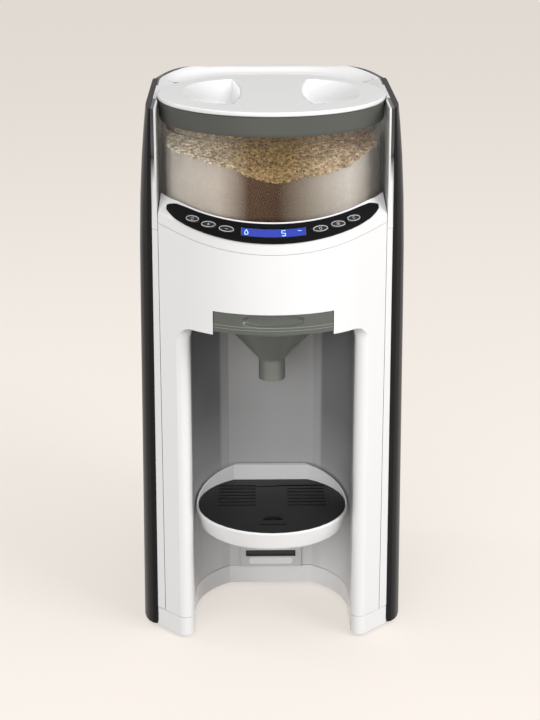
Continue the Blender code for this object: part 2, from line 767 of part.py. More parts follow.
# White housing
def main_housing():
    """Side walls, rear wall and deck, open to the front and below, and the hopper's surround on top."""
    bottom = BASE_TOP + GAP
    rough_top = BODY_TOP + OVERRUN
    rings = []
    for z in (bottom, rough_top):
        outer = housing_half_width(z)
        inner = HOUSING_INNER
        right = [(inner, HOUSING_REAR_Y - HOUSING_REAR_WALL), (inner, front_y(inner)),
                 (outer, front_y(outer)), (outer, HOUSING_REAR_Y)]
        rings.append(at_height(right + mirrored(right), z))
    shell = lofted(rings)
    side = POCKET_RADIUS - SLIDE_GAP
    overlap = HOUSING_REAR_WALL / 2
    back = HOUSING_REAR_Y - overlap
    nose = arc((0.0, HOPPER_CENTRE_Y), (side, side), math.pi, 2 * math.pi, FRONT_STEPS + 4)
    deck = extruded([nose + [(side, back), (-side, back)]], DECK_BOTTOM, rough_top - OVERRUN * SHORT_SHARE)
    join(shell, deck)
    reach = CASING_HALF_WIDTH
    cut(shell, box((-reach, -REAR_Y, BODY_TOP), (reach, REAR_Y, rough_top + OVERRUN)))
    cut(shell, cylinder(POCKET_RADIUS, (0.0, HOPPER_CENTRE_Y), DECK_TOP, BODY_TOP + OVERRUN,
                        ROUND_STEPS))
    dish = rear_outline(BODY_TOP, DISH_RIM, REAR_Y - CORNER_LENGTH)
    front = [(dish[-1][0], HOPPER_CENTRE_Y), (dish[0][0], HOPPER_CENTRE_Y)]
    cut(shell, extruded([dish + front], BODY_TOP - DISH_DEPTH, BODY_TOP + OVERRUN))
    cut(shell, cylinder(OUTLET_RADIUS + CHUTE_WALL + GAP, (0.0, OUTLET_Y), DECK_BOTTOM - OVERRUN,
                        DECK_TOP + OVERRUN))
    cut(shell, cylinder(SEAL_SEAT_RADIUS, (0.0, HOPPER_CENTRE_Y), DECK_BOTTOM - OVERRUN,
                        DECK_TOP + OVERRUN))
    cut(shell, box((-REAR_WINDOW_HALF_WIDTH, CIRCUIT_Y, bottom - OVERRUN),
                   (REAR_WINDOW_HALF_WIDTH, HOUSING_REAR_Y + OVERRUN, BASE_TOP + REAR_WINDOW_HEIGHT)))
    upper = twin(shell)
    front = -REAR_Y - OVERRUN
    cut(upper, box((-reach, front, -OVERRUN), (reach, REAR_Y, DECK_TOP + GAP)))
    finish_part(upper, "hopper_surround", WHITE)
    cut(shell, box((-reach, front, DECK_TOP), (reach, REAR_Y, BODY_TOP + OVERRUN)))
    return finish_part(shell, "main_housing", WHITE)


# Seam and console, the curves that the cover and the collar share
def seam_z(x):
    """Height of the seam between front cover and collar."""
    return SEAM_Z + SEAM_RISE * (x / COVER_HALF_WIDTH) ** 2


def console_low_z(x):
    """Height of the console's lower edge."""
    return CONSOLE_LOW + CONSOLE_RISE * min(1.0, (x / CONSOLE_REACH) ** 2)


def console_top_z(x):
    """Height of the console's upper edge, which climbs to both sides of the hopper."""
    share = min(1.0, abs(x) / (CONSOLE_REACH * CONSOLE_SIDE_SHARE))
    return CONSOLE_TOP + CONSOLE_SIDE_RISE * share ** CONSOLE_SIDE_POWER


def console_point(x, share, lift=0.0):
    """A point on the console: share 0 is its lower edge, share 1 the hopper's edge."""
    outer = Vector((x, front_y(x), console_low_z(x)))
    inner_x = x * COLLAR_INNER_SHARE
    depth = math.sqrt(POCKET_RADIUS ** 2 - inner_x ** 2)
    inner = Vector((inner_x, HOPPER_CENTRE_Y - depth, console_top_z(x)))
    return outer.lerp(inner, share) + console_normal(x) * lift


def console_normal(x):
    """Outward direction of the console at a width."""
    slope = math.atan2(console_top_z(x) - console_low_z(x), front_depth(x))
    turn = math.asin(max(-1.0, min(1.0, x / (FRONT_RADIUS * CONSOLE_TURN_SHARE))))
    level = Vector((math.sin(turn), -math.cos(turn), 0.0))
    return (level * math.sin(slope) + Vector((0, 0, 1)) * math.cos(slope)).normalized()


def front_depth(x):
    """Level distance from the front outline to the hopper pocket."""
    inner_x = x * COLLAR_INNER_SHARE
    return HOPPER_CENTRE_Y - math.sqrt(POCKET_RADIUS ** 2 - inner_x ** 2) - front_y(x)


def collar_widths():
    """Widths of the collar's sections, from left to right."""
    return [COVER_HALF_WIDTH * (2 * i / COLLAR_STEPS - 1) for i in range(COLLAR_STEPS + 1)]


def console_patch(half_width, low_share, high_share, lift_low, lift_high):
    """A plate that follows the console between two widths and two shares of its slope."""
    rings = []
    tips = [half_width * share for share in OVERLAY_TIP_SHARES]
    inside = [x for x in collar_widths() if abs(x) < tips[0] - GAP]
    inside = [-x for x in reversed(tips)] + inside + tips
    for x in [-half_width] + inside + [half_width]:
        low = low_share(x) if callable(low_share) else low_share
        high = high_share(x) if callable(high_share) else high_share
        rings.append([console_point(x, low, lift_low), console_point(x, low, lift_high),
                      console_point(x, high, lift_high), console_point(x, high, lift_low)])
    return lofted(rings)


def overlay_low_share(x):
    """Lower edge of the overlay, turning up to the blunt tip at both ends."""
    return OVERLAY_LOW_SHARE + OVERLAY_TAPER_LOW_SHARE * (abs(x) / CONSOLE_REACH) ** OVERLAY_TAPER_POWER


def overlay_high_share(x):
    """Upper edge of the overlay, turning down to the blunt tip at both ends."""
    return OVERLAY_HIGH_SHARE - OVERLAY_TAPER_HIGH_SHARE * (abs(x) / CONSOLE_REACH) ** OVERLAY_TAPER_POWER


def front_cover():
    """Front skin with its columns, arched bay and funnel slot."""
    low = BASE_TOP + GAP
    high = CONSOLE_TOP
    edge = COVER_HALF_WIDTH
    skin = extruded([front_run(0.0, edge) + list(reversed(front_run(COVER_WALL, edge)))], low, high)
    inner = COVER_WALL / 2
    thick = COVER_WALL + COLUMN_DEPTH
    block = front_run(inner, edge) + list(reversed(front_run(thick, edge)))
    join(skin, extruded([block], low, FUNNEL_SHELF))
    cut(skin, bay_form(0.0, -OVERRUN, BAY_TOP, BAY_ARCH_ROUND))
    slot = FUNNEL_HALF_WIDTH + SLIDE_GAP
    cut(skin, box((-slot, front_y(0.0) - OVERRUN, BAY_TOP - OVERRUN),
                  (slot, FUNNEL_CENTRE_Y, FUNNEL_TOP + GAP)))
    widths = [edge * SEAM_SPAN_SHARE * (2 * i / COLLAR_STEPS - 1) for i in range(COLLAR_STEPS + 1)]
    roof = [(x, seam_z(x) - GAP) for x in widths]
    over = [(widths[-1], high + OVERRUN), (widths[0], high + OVERRUN)]
    cut(skin, extruded([roof + over], front_y(0.0) - OVERRUN, 0.0, "XZ"))
    return finish_part(skin, "front_cover", WHITE)


def control_collar():
    """Crescent collar with the sloping console, above the front cover."""
    rings = []
    for x in collar_widths():
        inner = console_point(x, 1.0)
        low = seam_z(x)
        rings.append([(x, front_y(x), low), tuple(console_point(x, 0.0)), tuple(inner),
                      (inner[0], inner[1], low)])
    collar = lofted(rings)
    for x, _ in button_list():
        cut(collar, button_form(x, BUTTON_DEPTH + BUTTON_TRAVEL + GAP, OVERRUN, GAP))
    return finish_part(collar, "control_collar", WHITE)


def button_list():
    """Widths of the six buttons, left to right, with their numbers."""
    places = [CONSOLE_REACH * share for share in BUTTON_SHARES]
    widths = [-x for x in reversed(places)] + places
    return [(x, i + 1) for i, x in enumerate(widths)]


def button_form(x, depth, height, grow):
    """An oval plug standing on the console, reaching below and above its face."""
    bm = bmesh.new()
    bmesh.ops.create_cone(bm, cap_ends=True, segments=SMALL_STEPS, radius1=1.0, radius2=1.0,
                          depth=height + depth)
    half_x = BUTTON_HALF_LENGTH + grow
    half_y = BUTTON_HALF_HEIGHT + grow
    bmesh.ops.scale(bm, vec=(half_x, half_y, 1.0), verts=bm.verts)
    bmesh.ops.translate(bm, vec=(0, 0, (height - depth) / 2), verts=bm.verts)
    up = console_normal(x)
    along = (console_point(x + GAP, BUTTON_MIDDLE_SHARE) - console_point(x - GAP, BUTTON_MIDDLE_SHARE))
    along = (along - up * along.dot(up)).normalized()
    across = up.cross(along)
    place = console_point(x, BUTTON_MIDDLE_SHARE)
    frame = Matrix((along, across, up)).transposed().to_4x4()
    bmesh.ops.transform(bm, matrix=Matrix.Translation(place) @ frame, verts=bm.verts)
    return from_bmesh(bm)


def panel_overlay():
    """Thin black crescent on the console, pierced by the display and the buttons."""
    plate = console_patch(CONSOLE_REACH, overlay_low_share, overlay_high_share, OVERLAY_GAP,
                          OVERLAY_GAP + OVERLAY_THICKNESS)
    low = DISPLAY_MIDDLE_SHARE - DISPLAY_HALF_SHARE
    high = DISPLAY_MIDDLE_SHARE + DISPLAY_HALF_SHARE
    slope = console_point(0.0, 0.0) - console_point(0.0, 1.0)
    margin = GAP / slope.length
    wide = DISPLAY_HALF_WIDTH + GAP
    cut(plate, console_patch(wide, low - margin, high + margin, -OVERLAY_GAP, OVERLAY_THICKNESS * 3))
    for x, _ in button_list():
        cut(plate, button_form(x, BUTTON_DEPTH, OVERRUN, GAP))
    return finish_part(plate, "panel_overlay", BLACK)


def display_window():
    """Display in its window of the overlay."""
    low = DISPLAY_MIDDLE_SHARE - DISPLAY_HALF_SHARE
    high = DISPLAY_MIDDLE_SHARE + DISPLAY_HALF_SHARE
    window = console_patch(DISPLAY_HALF_WIDTH, low, high, OVERLAY_GAP, OVERLAY_THICKNESS)
    return finish_part(window, "display_window", DISPLAY_BLUE)


def buttons():
    """Six oval buttons, each with its origin on its own line of travel."""
    for x, number in button_list():
        plug = button_form(x, BUTTON_DEPTH, OVERLAY_GAP + OVERLAY_THICKNESS + BUTTON_PROUD, 0.0)
        place = console_point(x, BUTTON_MIDDLE_SHARE)
        finish_part(plug, f"button_{number}", BUTTON_GREY, place)


# Bay liner and rail
def bay_liner():
    """Walls and roof of the bottle bay, behind the front cover."""
    low = BASE_TOP + GAP
    inset = COVER_WALL + COLUMN_DEPTH + GAP
    edge = BAY_HALF_WIDTH + LINER_WALL * 2
    room = front_run(inset, edge) + [(edge, CIRCUIT_Y), (-edge, CIRCUIT_Y)]
    liner = extruded([room], low, DECK_BOTTOM)
    keep(liner, bay_form(-LINER_WALL, low - OVERRUN, FUNNEL_SHELF, BAY_ARCH_ROUND))
    cut(liner, bay_form(0.0, -OVERRUN, BAY_TOP, BAY_ARCH_ROUND))
    slot = FUNNEL_CONE_RADIUS + SLIDE_GAP * 2
    back = FUNNEL_CENTRE_Y
    mouth = arc((0.0, back), (slot, slot), 0.0, math.pi, BAY_STEPS)
    front = front_y(0.0) - OVERRUN
    cut(liner, extruded([mouth + [(-slot, front), (slot, front)]], BAY_TOP - OVERRUN * SHORT_SHARE,
                        FUNNEL_TOP))
    return finish_part(liner, "bay_liner", LINER)


def tray_rail():
    """Upright rail on the back wall of the bay, with its row of hook slots and their lips."""
    low = BASE_TOP + GAP
    half = RAIL_WIDTH / 2
    back = BAY_BACK_Y - GAP
    rail = box((-half, RAIL_FRONT_Y, low), (half, back, low + RAIL_HEIGHT))
    slot = RAIL_SLOT_WIDTH / 2
    for i in range(RAIL_SLOT_COUNT):
        z = low + RAIL_SLOT_FIRST + i * RAIL_SLOT_PITCH
        cut(rail, box((-slot, RAIL_FRONT_Y - OVERRUN, z), (slot, back + OVERRUN, z + RAIL_SLOT_HEIGHT)))
    return finish_part(rail, "tray_rail", WHITE)


# Casings
def side_casing(name, side):
    """Black side casing: a thin bulging wall with a round nose, closed on top."""
    levels = [FOOT_HEIGHT + GAP]
    start = BODY_TOP - CASING_CROWN_HEIGHT
    levels += [start + CASING_CROWN_HEIGHT * share for share in CROWN_SHARES]
    cap = BODY_TOP - CASING_CAP
    rings = []
    for z in levels + [cap]:
        outer = casing_side(z, 0.0)
        tip = housing_half_width(z) + GAP
        inner = [(max(x, tip), y) for x, y in casing_side(z, CASING_WALL)]
        rings.append(at_height(outer + list(reversed(inner)), z))
    for z in (cap + GAP, BODY_TOP):
        outer = casing_side(z, 0.0)
        tip = housing_half_width(z) + GAP
        inner = [(tip, y) for _, y in casing_side(z, CASING_WALL)]
        rings.append(at_height(outer + list(reversed(inner)), z))
    casing = lofted(rings)
    if side < 0:
        casing.data.transform(Matrix.Scale(-1.0, 4, (1.0, 0.0, 0.0)))
        casing.data.flip_normals()
    return finish_part(casing, name, BLACK)


def rear_casing():
    """Black lower rear casing with the tank's shelf on top, open to the front and below."""
    low = FOOT_HEIGHT + GAP
    front = HOUSING_REAR_Y + GAP
    outer = [at_height(rear_outline(z, 0.0, front), z) for z in (low, TANK_FLOOR_Z)]
    shell = lofted(outer)
    inner = []
    for z in (low - OVERRUN, TANK_FLOOR_Z - SHELF_THICKNESS):
        right = rear_half(z, CASING_WALL, front)
        edge = [(right[0][0], front - OVERRUN)]
        inner.append(at_height(edge + right + mirrored(edge + right), z))
    cut(shell, lofted(inner))
    cut(shell, cylinder(VALVE_RADIUS + SEAT_WALL + GAP, (0.0, TANK_CENTRE_Y),
                        TANK_FLOOR_Z - OVERRUN, TANK_FLOOR_Z + OVERRUN))
    wide = INLET_HALF_WIDTH + GAP
    tall = INLET_HALF_HEIGHT + GAP
    cut(shell, box((-wide, REAR_Y - OVERRUN, INLET_Z - tall), (wide, REAR_Y + OVERRUN, INLET_Z + tall)))
    return finish_part(shell, "rear_casing", BLACK)


# Tank
def tank_levels():
    """Heights at which the tank follows the crowned casing."""
    start = BODY_TOP - CASING_CROWN_HEIGHT
    crown = [start + CASING_CROWN_HEIGHT * share for share in CROWN_SHARES]
    return [TANK_BOTTOM] + [z for z in crown if TANK_BOTTOM < z < TANK_TOP] + [TANK_TOP]


def notch_half_width():
    """Half width over which the tank's lid reaches behind its hinge pin."""
    turn = math.asin(1.0 - HINGE_SETBACK / CORNER_LENGTH)
    return casing_half_width(TANK_TOP) - CORNER_WIDTH * (1.0 - math.cos(turn)) + SLIDE_GAP * 4


def water_tank():
    """Smoked water tank at the upper rear, with a notch for its lid and two bosses for the hinge pin."""
    front = TANK_FRONT_Y
    levels = tank_levels()
    tank = lofted([at_height(rear_outline(z, 0.0, front), z) for z in levels])
    floor = TANK_BOTTOM + TANK_FLOOR
    room = [floor] + levels[1:-1] + [TANK_TOP + GAP]
    cut(tank, lofted([at_height(rear_outline(z, TANK_WALL, front + TANK_WALL), z) for z in room]))
    notch = notch_half_width()
    heel = TANK_TOP - math.hypot(HINGE_SETBACK, TANK_LID_PLUG) - GAP * 2
    cut(tank, box((-notch, REAR_Y - TANK_WALL * 4, heel), (notch, REAR_Y + OVERRUN, TANK_TOP + OVERRUN)))
    pin_y = REAR_Y - HINGE_SETBACK
    pin_z = TANK_TOP
    for side in (-1, 1):
        inner = side * (HINGE_HALF_LENGTH - HINGE_EAR)
        outer = side * HINGE_HALF_LENGTH
        low_x, high_x = sorted((inner, outer))
        join(tank, box((low_x, pin_y - HINGE_BOSS, heel - TANK_WALL * 2),
                       (high_x, pin_y + HINGE_BOSS, pin_z)))
        join(tank, cylinder(HINGE_BOSS, (pin_y, pin_z), low_x, high_x, SMALL_STEPS, "X"))
        join(tank, box((low_x, pin_y - HINGE_BOSS, heel - TANK_WALL * 2),
                       (high_x, REAR_Y - GAP, heel - GAP)))
    reach = HINGE_HALF_LENGTH + GAP
    cut(tank, cylinder(HINGE_PIN_RADIUS + GAP, (pin_y, pin_z), -reach, reach, TINY_STEPS, "X"))
    cut(tank, cylinder(VALVE_RADIUS + GAP, (0.0, TANK_CENTRE_Y), TANK_BOTTOM - OVERRUN,
                       floor + OVERRUN * SHORT_SHARE))
    return finish_part(tank, "water_tank", SMOKE, (0.0, TANK_CENTRE_Y, TANK_BOTTOM))


def tank_lid():
    """White dished lid: a flange on the tank's rim, a plug in its mouth and a heel behind the pin."""
    front = TANK_FRONT_Y
    low = TANK_TOP - TANK_LID_PLUG
    levels = ((low, TANK_TOP), (TANK_TOP, TANK_TOP), (BODY_TOP, BODY_TOP))
    lid = lofted([at_height(rear_outline(level, 0.0, front), z) for z, level in levels])
    wide = CASING_HALF_WIDTH
    under = box((-wide, front - OVERRUN, low - OVERRUN), (wide, REAR_Y + OVERRUN, TANK_TOP + GAP))
    inset = TANK_WALL + GAP
    ends = (low - OVERRUN * 2, TANK_TOP + OVERRUN)
    plug = lofted([at_height(rear_outline(TANK_TOP, inset, front + inset), z) for z in ends])
    heel = notch_half_width() - GAP
    rear = REAR_Y + OVERRUN * 2
    cut(under, plug, box((-heel, REAR_Y - TANK_WALL * 4 + GAP, ends[0]), (heel, rear, ends[1])))
    cut(lid, under)
    dish = rear_outline(BODY_TOP, DISH_RIM, front - OVERRUN)
    edge = [(dish[-1][0], front - OVERRUN), (dish[0][0], front - OVERRUN)]
    cut(lid, extruded([dish + edge], BODY_TOP - DISH_DEPTH, BODY_TOP + OVERRUN))
    pin_y = REAR_Y - HINGE_SETBACK
    pin_z = TANK_TOP
    for side in (-1, 1):
        low_x, high_x = sorted((side * (HINGE_HALF_LENGTH - HINGE_EAR - SLIDE_GAP),
                                side * (HINGE_HALF_LENGTH + SLIDE_GAP)))
        cut(lid, box((low_x, pin_y - HINGE_BOSS - SLIDE_GAP, low - OVERRUN),
                     (high_x, REAR_Y + OVERRUN, pin_z + HINGE_BOSS + SLIDE_GAP)))
    reach = HINGE_HALF_LENGTH + SLIDE_GAP
    cut(lid, cylinder(HINGE_PIN_RADIUS + GAP, (pin_y, pin_z), -reach, reach, TINY_STEPS, "X"))
    cut(lid, cylinder(LID_NOTCH_RADIUS, (0.0, front), low - OVERRUN, BODY_TOP + OVERRUN))
    pin = cylinder(HINGE_PIN_RADIUS, (pin_y, pin_z), -HINGE_HALF_LENGTH, HINGE_HALF_LENGTH,
                   TINY_STEPS, "X")
    finish_part(pin, "hinge_pin", STEEL, (0.0, pin_y, pin_z))
    return finish_part(lid, "tank_lid", WHITE, (0.0, pin_y, pin_z))


def tank_fittings():
    """Valve on the tank's floor and the ring seat in the shelf."""
    centre = (0.0, TANK_CENTRE_Y)
    floor = TANK_BOTTOM + TANK_FLOOR + GAP
    bottom = TANK_BOTTOM - VALVE_DROP
    flange = VALVE_RADIUS + VALVE_FLANGE
    profile = [(0.0, floor + VALVE_FLANGE_HEIGHT), (flange, floor + VALVE_FLANGE_HEIGHT), (flange, floor),
               (VALVE_RADIUS, floor), (VALVE_RADIUS, bottom), (0.0, bottom)]
    finish_part(turned(profile, centre, SMALL_STEPS), "tank_valve", NYLON, (*centre, TANK_BOTTOM))
    outer = VALVE_RADIUS + SEAT_WALL
    inner = VALVE_RADIUS + GAP
    low = bottom - SEAT_DROP
    profile = [(outer, TANK_FLOOR_Z), (outer, low), (HOSE_RADIUS, low), (HOSE_RADIUS, bottom - GAP),
               (inner, bottom - GAP), (inner, TANK_FLOOR_Z)]
    finish_part(turned(profile, centre, SMALL_STEPS, closed=True), "tank_seat", NYLON)


# Hopper, ring and lid
def hopper():
    """Clear powder hopper with a foot ring that fills the pocket."""
    low = HOPPER_BOTTOM
    foot = POCKET_RADIUS - SLIDE_GAP
    foot_top = low + HOPPER_FOOT_HEIGHT
    outer = HOPPER_RADIUS
    inner = HOPPER_RADIUS - HOPPER_WALL
    floor = low + HOPPER_FLOOR
    hole = DOG_RADIUS + SLIDE_GAP
    profile = [(inner, HOPPER_TOP), (outer, HOPPER_TOP), (outer, foot_top), (foot, foot_top), (foot, low),
               (hole, low), (hole, floor), (inner, floor)]
    body = turned(profile, (0.0, HOPPER_CENTRE_Y), ROUND_STEPS, closed=True)
    cut(body, cylinder(OUTLET_RADIUS, (0.0, OUTLET_Y), low - OVERRUN, floor + OVERRUN * SHORT_SHARE))
    return finish_part(body, "hopper", CLEAR, (0.0, HOPPER_CENTRE_Y, HOPPER_BOTTOM))


def lid_parts():
    """Grey ring on the hopper's rim, its seal, and the white lid that turns in it."""
    centre = (0.0, HOPPER_CENTRE_Y)
    rim = POCKET_RADIUS - SLIDE_GAP
    outer = rim - RING_SETBACK
    inner = outer - RING_WIDTH
    low = HOPPER_TOP + GAP
    lip_inner = HOPPER_RADIUS + GAP
    lip_low = low - RING_LIP_HEIGHT
    skirt = HOPPER_RADIUS - HOPPER_WALL - SEAL_BULGE - GAP * 2
    skirt_low = low - RING_SKIRT_DEPTH
    profile = [(inner, RING_TOP), (outer, RING_TOP), (outer, low + RING_LIP_WIDTH),
               (lip_inner + RING_LIP_WIDTH, low), (lip_inner + RING_LIP_WIDTH, lip_low),
               (lip_inner, lip_low), (lip_inner, low), (skirt, low), (skirt, skirt_low),
               (inner, skirt_low)]
    finish_part(turned(profile, centre, ROUND_STEPS, closed=True), "lid_ring", GREY,
                (*centre, HOPPER_TOP))
    seal_in = skirt + GAP
    seal_out = seal_in + SEAL_BULGE
    seal_low = skirt_low + SEAL_HEIGHT / 2
    seal_high = seal_low + SEAL_HEIGHT
    profile = [(seal_in, seal_high), (seal_out, seal_high), (seal_out, seal_low), (seal_in, seal_low)]
    finish_part(turned(profile, centre, ROUND_STEPS, closed=True), "lid_seal", SILICONE,
                (*centre, HOPPER_TOP))
    round_off = LID_EDGE_ROUND
    edge = rim - GAP
    plug = inner - SLIDE_GAP
    plug_low = RING_TOP - LID_PLUG_DEPTH
    bend = round_off * EDGE_MIDDLE_SHARE
    profile = [(0.0, LID_TOP), (edge - round_off, LID_TOP), (edge - bend, LID_TOP - bend),
               (edge, LID_TOP - round_off), (edge, LID_BOTTOM), (plug, LID_BOTTOM), (plug, plug_low),
               (0.0, plug_low)]
    lid = turned(profile, centre, ROUND_STEPS)
    for side in (-1, 1):
        cut(lid, leaf_hollow(side))
    return finish_part(lid, "hopper_lid", WHITE, (*centre, RING_TOP))


def leaf_outline(side):
    """Leaf outline of a finger hollow: a bowed inner edge and two long curves to a tip."""
    middle = HOPPER_CENTRE_Y + LEAF_OFFSET_Y
    half = LEAF_HALF_LENGTH
    run = []
    steps = 6
    for i in range(steps + 1):
        t = 2 * i / steps - 1
        run.append((LEAF_INNER_X - LEAF_BOW * (1 - t * t), middle + half * t))
    for i in range(1, steps * 2):
        a = math.pi / 2 - math.pi * i / (steps * 2)
        reach = LEAF_TIP_X - LEAF_INNER_X
        run.append((LEAF_INNER_X + reach * math.cos(a) ** LEAF_SIDE_POWER, middle + half * math.sin(a)))
    return [(side * x, y) for x, y in run]


def leaf_hollow(side):
    """Cutter of a finger hollow: its floor falls from the tip to the grip bar."""
    outline = leaf_outline(side)
    reach = LEAF_TIP_X - LEAF_INNER_X + LEAF_BOW
    top = at_height(outline, LID_TOP + GAP)
    low = []
    for x, y in outline:
        fall = LEAF_DEPTH * min(1.0, (LEAF_TIP_X - abs(x)) / reach) ** LEAF_FALL_POWER
        low.append((x, y, LID_TOP - GAP - fall))
    return lofted([low, top])


# Dosing wheel and stirrer
def dosing_wheel():
    """Wheel with a ring of dosing pockets and a six-sided socket."""
    low = HOPPER_BOTTOM + HOPPER_FLOOR + SLIDE_GAP
    high = low + WHEEL_HEIGHT
    centre = (0.0, HOPPER_CENTRE_Y)
    wheel = cylinder(WHEEL_RADIUS, centre, low, high, ROUND_STEPS)
    under = low - OVERRUN * SHORT_SHARE
    over = high + OVERRUN * SHORT_SHARE
    for i in range(WHEEL_POCKETS):
        a = 2 * math.pi * i / WHEEL_POCKETS - math.pi / 2
        place = (OUTLET_REACH * math.cos(a), HOPPER_CENTRE_Y + OUTLET_REACH * math.sin(a))
        cut(wheel, cylinder(OUTLET_RADIUS, place, under, over, TINY_STEPS))
    cut(wheel, cylinder(DOG_RADIUS + SLIDE_GAP, centre, under, over, DOG_SIDES))
    return finish_part(wheel, "dosing_wheel", NYLON, (*centre, low))


def stirrer():
    """Hub with arms and upright fingers that keep the powder loose."""
    low = HOPPER_BOTTOM + HOPPER_FLOOR + SLIDE_GAP + WHEEL_HEIGHT + GAP
    centre = (0.0, HOPPER_CENTRE_Y)
    hub = cylinder(STIRRER_HUB_RADIUS, centre, low, low + STIRRER_HUB_HEIGHT, SMALL_STEPS,
                   top_radius=STIRRER_HUB_RADIUS * STIRRER_TOP_SHARE)
    for i in range(STIRRER_ARMS):
        a = 2 * math.pi * i / STIRRER_ARMS + math.pi / 2
        turn = Matrix.Translation((*centre, 0.0)) @ Matrix.Rotation(a, 4, "Z")
        arm = box((0.0, -STIRRER_ARM_WIDTH / 2, low), (STIRRER_REACH, STIRRER_ARM_WIDTH / 2,
                                                     low + STIRRER_ARM_HEIGHT))
        arm.data.transform(turn)
        setback = STIRRER_FINGER_FIRST_SHARE + STIRRER_FINGER_STEP_SHARE * i
        reach = STIRRER_REACH - STIRRER_FINGER_RADIUS * setback
        finger = cylinder(STIRRER_FINGER_RADIUS, (reach, 0.0), low + STIRRER_ARM_HEIGHT / 2,
                          low + STIRRER_FINGER_HEIGHT, TINY_STEPS)
        finger.data.transform(turn)
        join(hub, arm, finger)
    return finish_part(hub, "stirrer", NYLON, (*centre, low))


# Drive under the deck
def gear_outline(teeth, phase):
    """Toothed outline with straight-flanked teeth."""
    pitch = GEAR_MODULE * teeth / 2
    tip = pitch + GEAR_MODULE * TOOTH_TIP_SHARE
    root = pitch - GEAR_MODULE * TOOTH_ROOT_SHARE
    step = 2 * math.pi / teeth
    slack = TOOTH_BACKLASH_SHARE * step / 2
    foot = step * TOOTH_ROOT_HALF_SHARE - slack
    land = step * TOOTH_TIP_HALF_SHARE - slack
    run = []
    for i in range(teeth):
        a = phase + i * step
        for radius, shift in ((root, -foot), (tip, -land), (tip, land), (root, foot)):
            run.append((radius * math.cos(a + shift), radius * math.sin(a + shift)))
    return run


def drive_train():
    """Drive gear, shaft with its dog, shaft seal, pinion, carrier, motor and dosing chute."""
    centre = (0.0, HOPPER_CENTRE_Y)
    gear_low = GEAR_TOP - GEAR_HEIGHT
    half_pitch = math.pi / GEAR_TEETH
    outline = [(x, y + HOPPER_CENTRE_Y) for x, y in gear_outline(GEAR_TEETH, math.pi / 2 + half_pitch)]
    gear = extruded([outline], gear_low, GEAR_TOP)
    hub_low = gear_low - GEAR_HUB_HEIGHT + GAP
    join(gear, cylinder(GEAR_HUB_RADIUS, centre, hub_low, gear_low + GEAR_HEIGHT / 2))
    cut(gear, cylinder(SHAFT_RADIUS + GAP, centre, hub_low - OVERRUN, GEAR_TOP + OVERRUN))
    finish_part(gear, "drive_gear", NYLON, (*centre, gear_low))
    wheel_low = HOPPER_BOTTOM + HOPPER_FLOOR + SLIDE_GAP
    dog_top = wheel_low + DOG_HEIGHT - SLIDE_GAP
    shaft = cylinder(SHAFT_RADIUS, centre, CARRIER_BOTTOM, HOPPER_BOTTOM)
    join(shaft, cylinder(DOG_RADIUS, centre, DECK_TOP, dog_top, DOG_SIDES))
    finish_part(shaft, "drive_shaft", STEEL, (*centre, gear_low))
    seal_out = SEAL_SEAT_RADIUS - GAP
    seal_in = SHAFT_RADIUS + GAP
    high = DECK_TOP - GAP
    profile = [(seal_in, high), (seal_out, high), (seal_out, DECK_BOTTOM), (seal_in, DECK_BOTTOM)]
    finish_part(turned(profile, centre, SMALL_STEPS, closed=True), "shaft_seal", RUBBER)
    outline = [(x, y + PINION_Y) for x, y in gear_outline(PINION_TEETH, -math.pi / 2)]
    pinion = extruded([outline], gear_low, GEAR_TOP)
    join(pinion, cylinder(PINION_SHAFT_RADIUS, (0.0, PINION_Y), MOTOR_TOP + GAP,
                          GEAR_TOP - GEAR_HEIGHT / 2, TINY_STEPS))
    finish_part(pinion, "motor_pinion", NYLON, (0.0, PINION_Y, gear_low))
    gear_carrier()
    low = FUNNEL_TOP + MOTOR_CLEARANCE
    wide = MOTOR_RADIUS
    narrow = MOTOR_RADIUS - MOTOR_EDGE
    profile = [(0.0, MOTOR_TOP), (narrow, MOTOR_TOP), (wide, MOTOR_TOP - MOTOR_EDGE),
               (wide, low + MOTOR_EDGE), (narrow, low), (0.0, low)]
    finish_part(turned(profile, (0.0, PINION_Y), SMALL_STEPS), "drive_motor", STEEL)
    dosing_chute()


def gear_carrier():
    """Plate on three posts under the deck: it holds the shaft's lower end and the motor."""
    front = OUTLET_Y + OUTLET_RADIUS + CHUTE_WALL + SLIDE_GAP
    back = PINION_Y + MOTOR_RADIUS + CARRIER_MARGIN
    half = CARRIER_HALF_WIDTH
    plate = box((-half, front, CARRIER_BOTTOM), (half, back, CARRIER_TOP))
    reach = half - POST_RADIUS
    for place in ((-reach, HOPPER_CENTRE_Y), (reach, HOPPER_CENTRE_Y), (0.0, back - POST_RADIUS)):
        join(plate, cylinder(POST_RADIUS, place, CARRIER_TOP - CARRIER_THICKNESS / 2, DECK_BOTTOM - GAP,
                             TINY_STEPS))
    cut(plate, cylinder(SHAFT_RADIUS + GAP, (0.0, HOPPER_CENTRE_Y), CARRIER_BOTTOM - OVERRUN,
                        CARRIER_TOP + OVERRUN))
    cut(plate, cylinder(PINION_SHAFT_RADIUS + GAP, (0.0, PINION_Y), CARRIER_BOTTOM - OVERRUN,
                        CARRIER_TOP + OVERRUN, TINY_STEPS))
    return finish_part(plate, "gear_carrier", GREY)


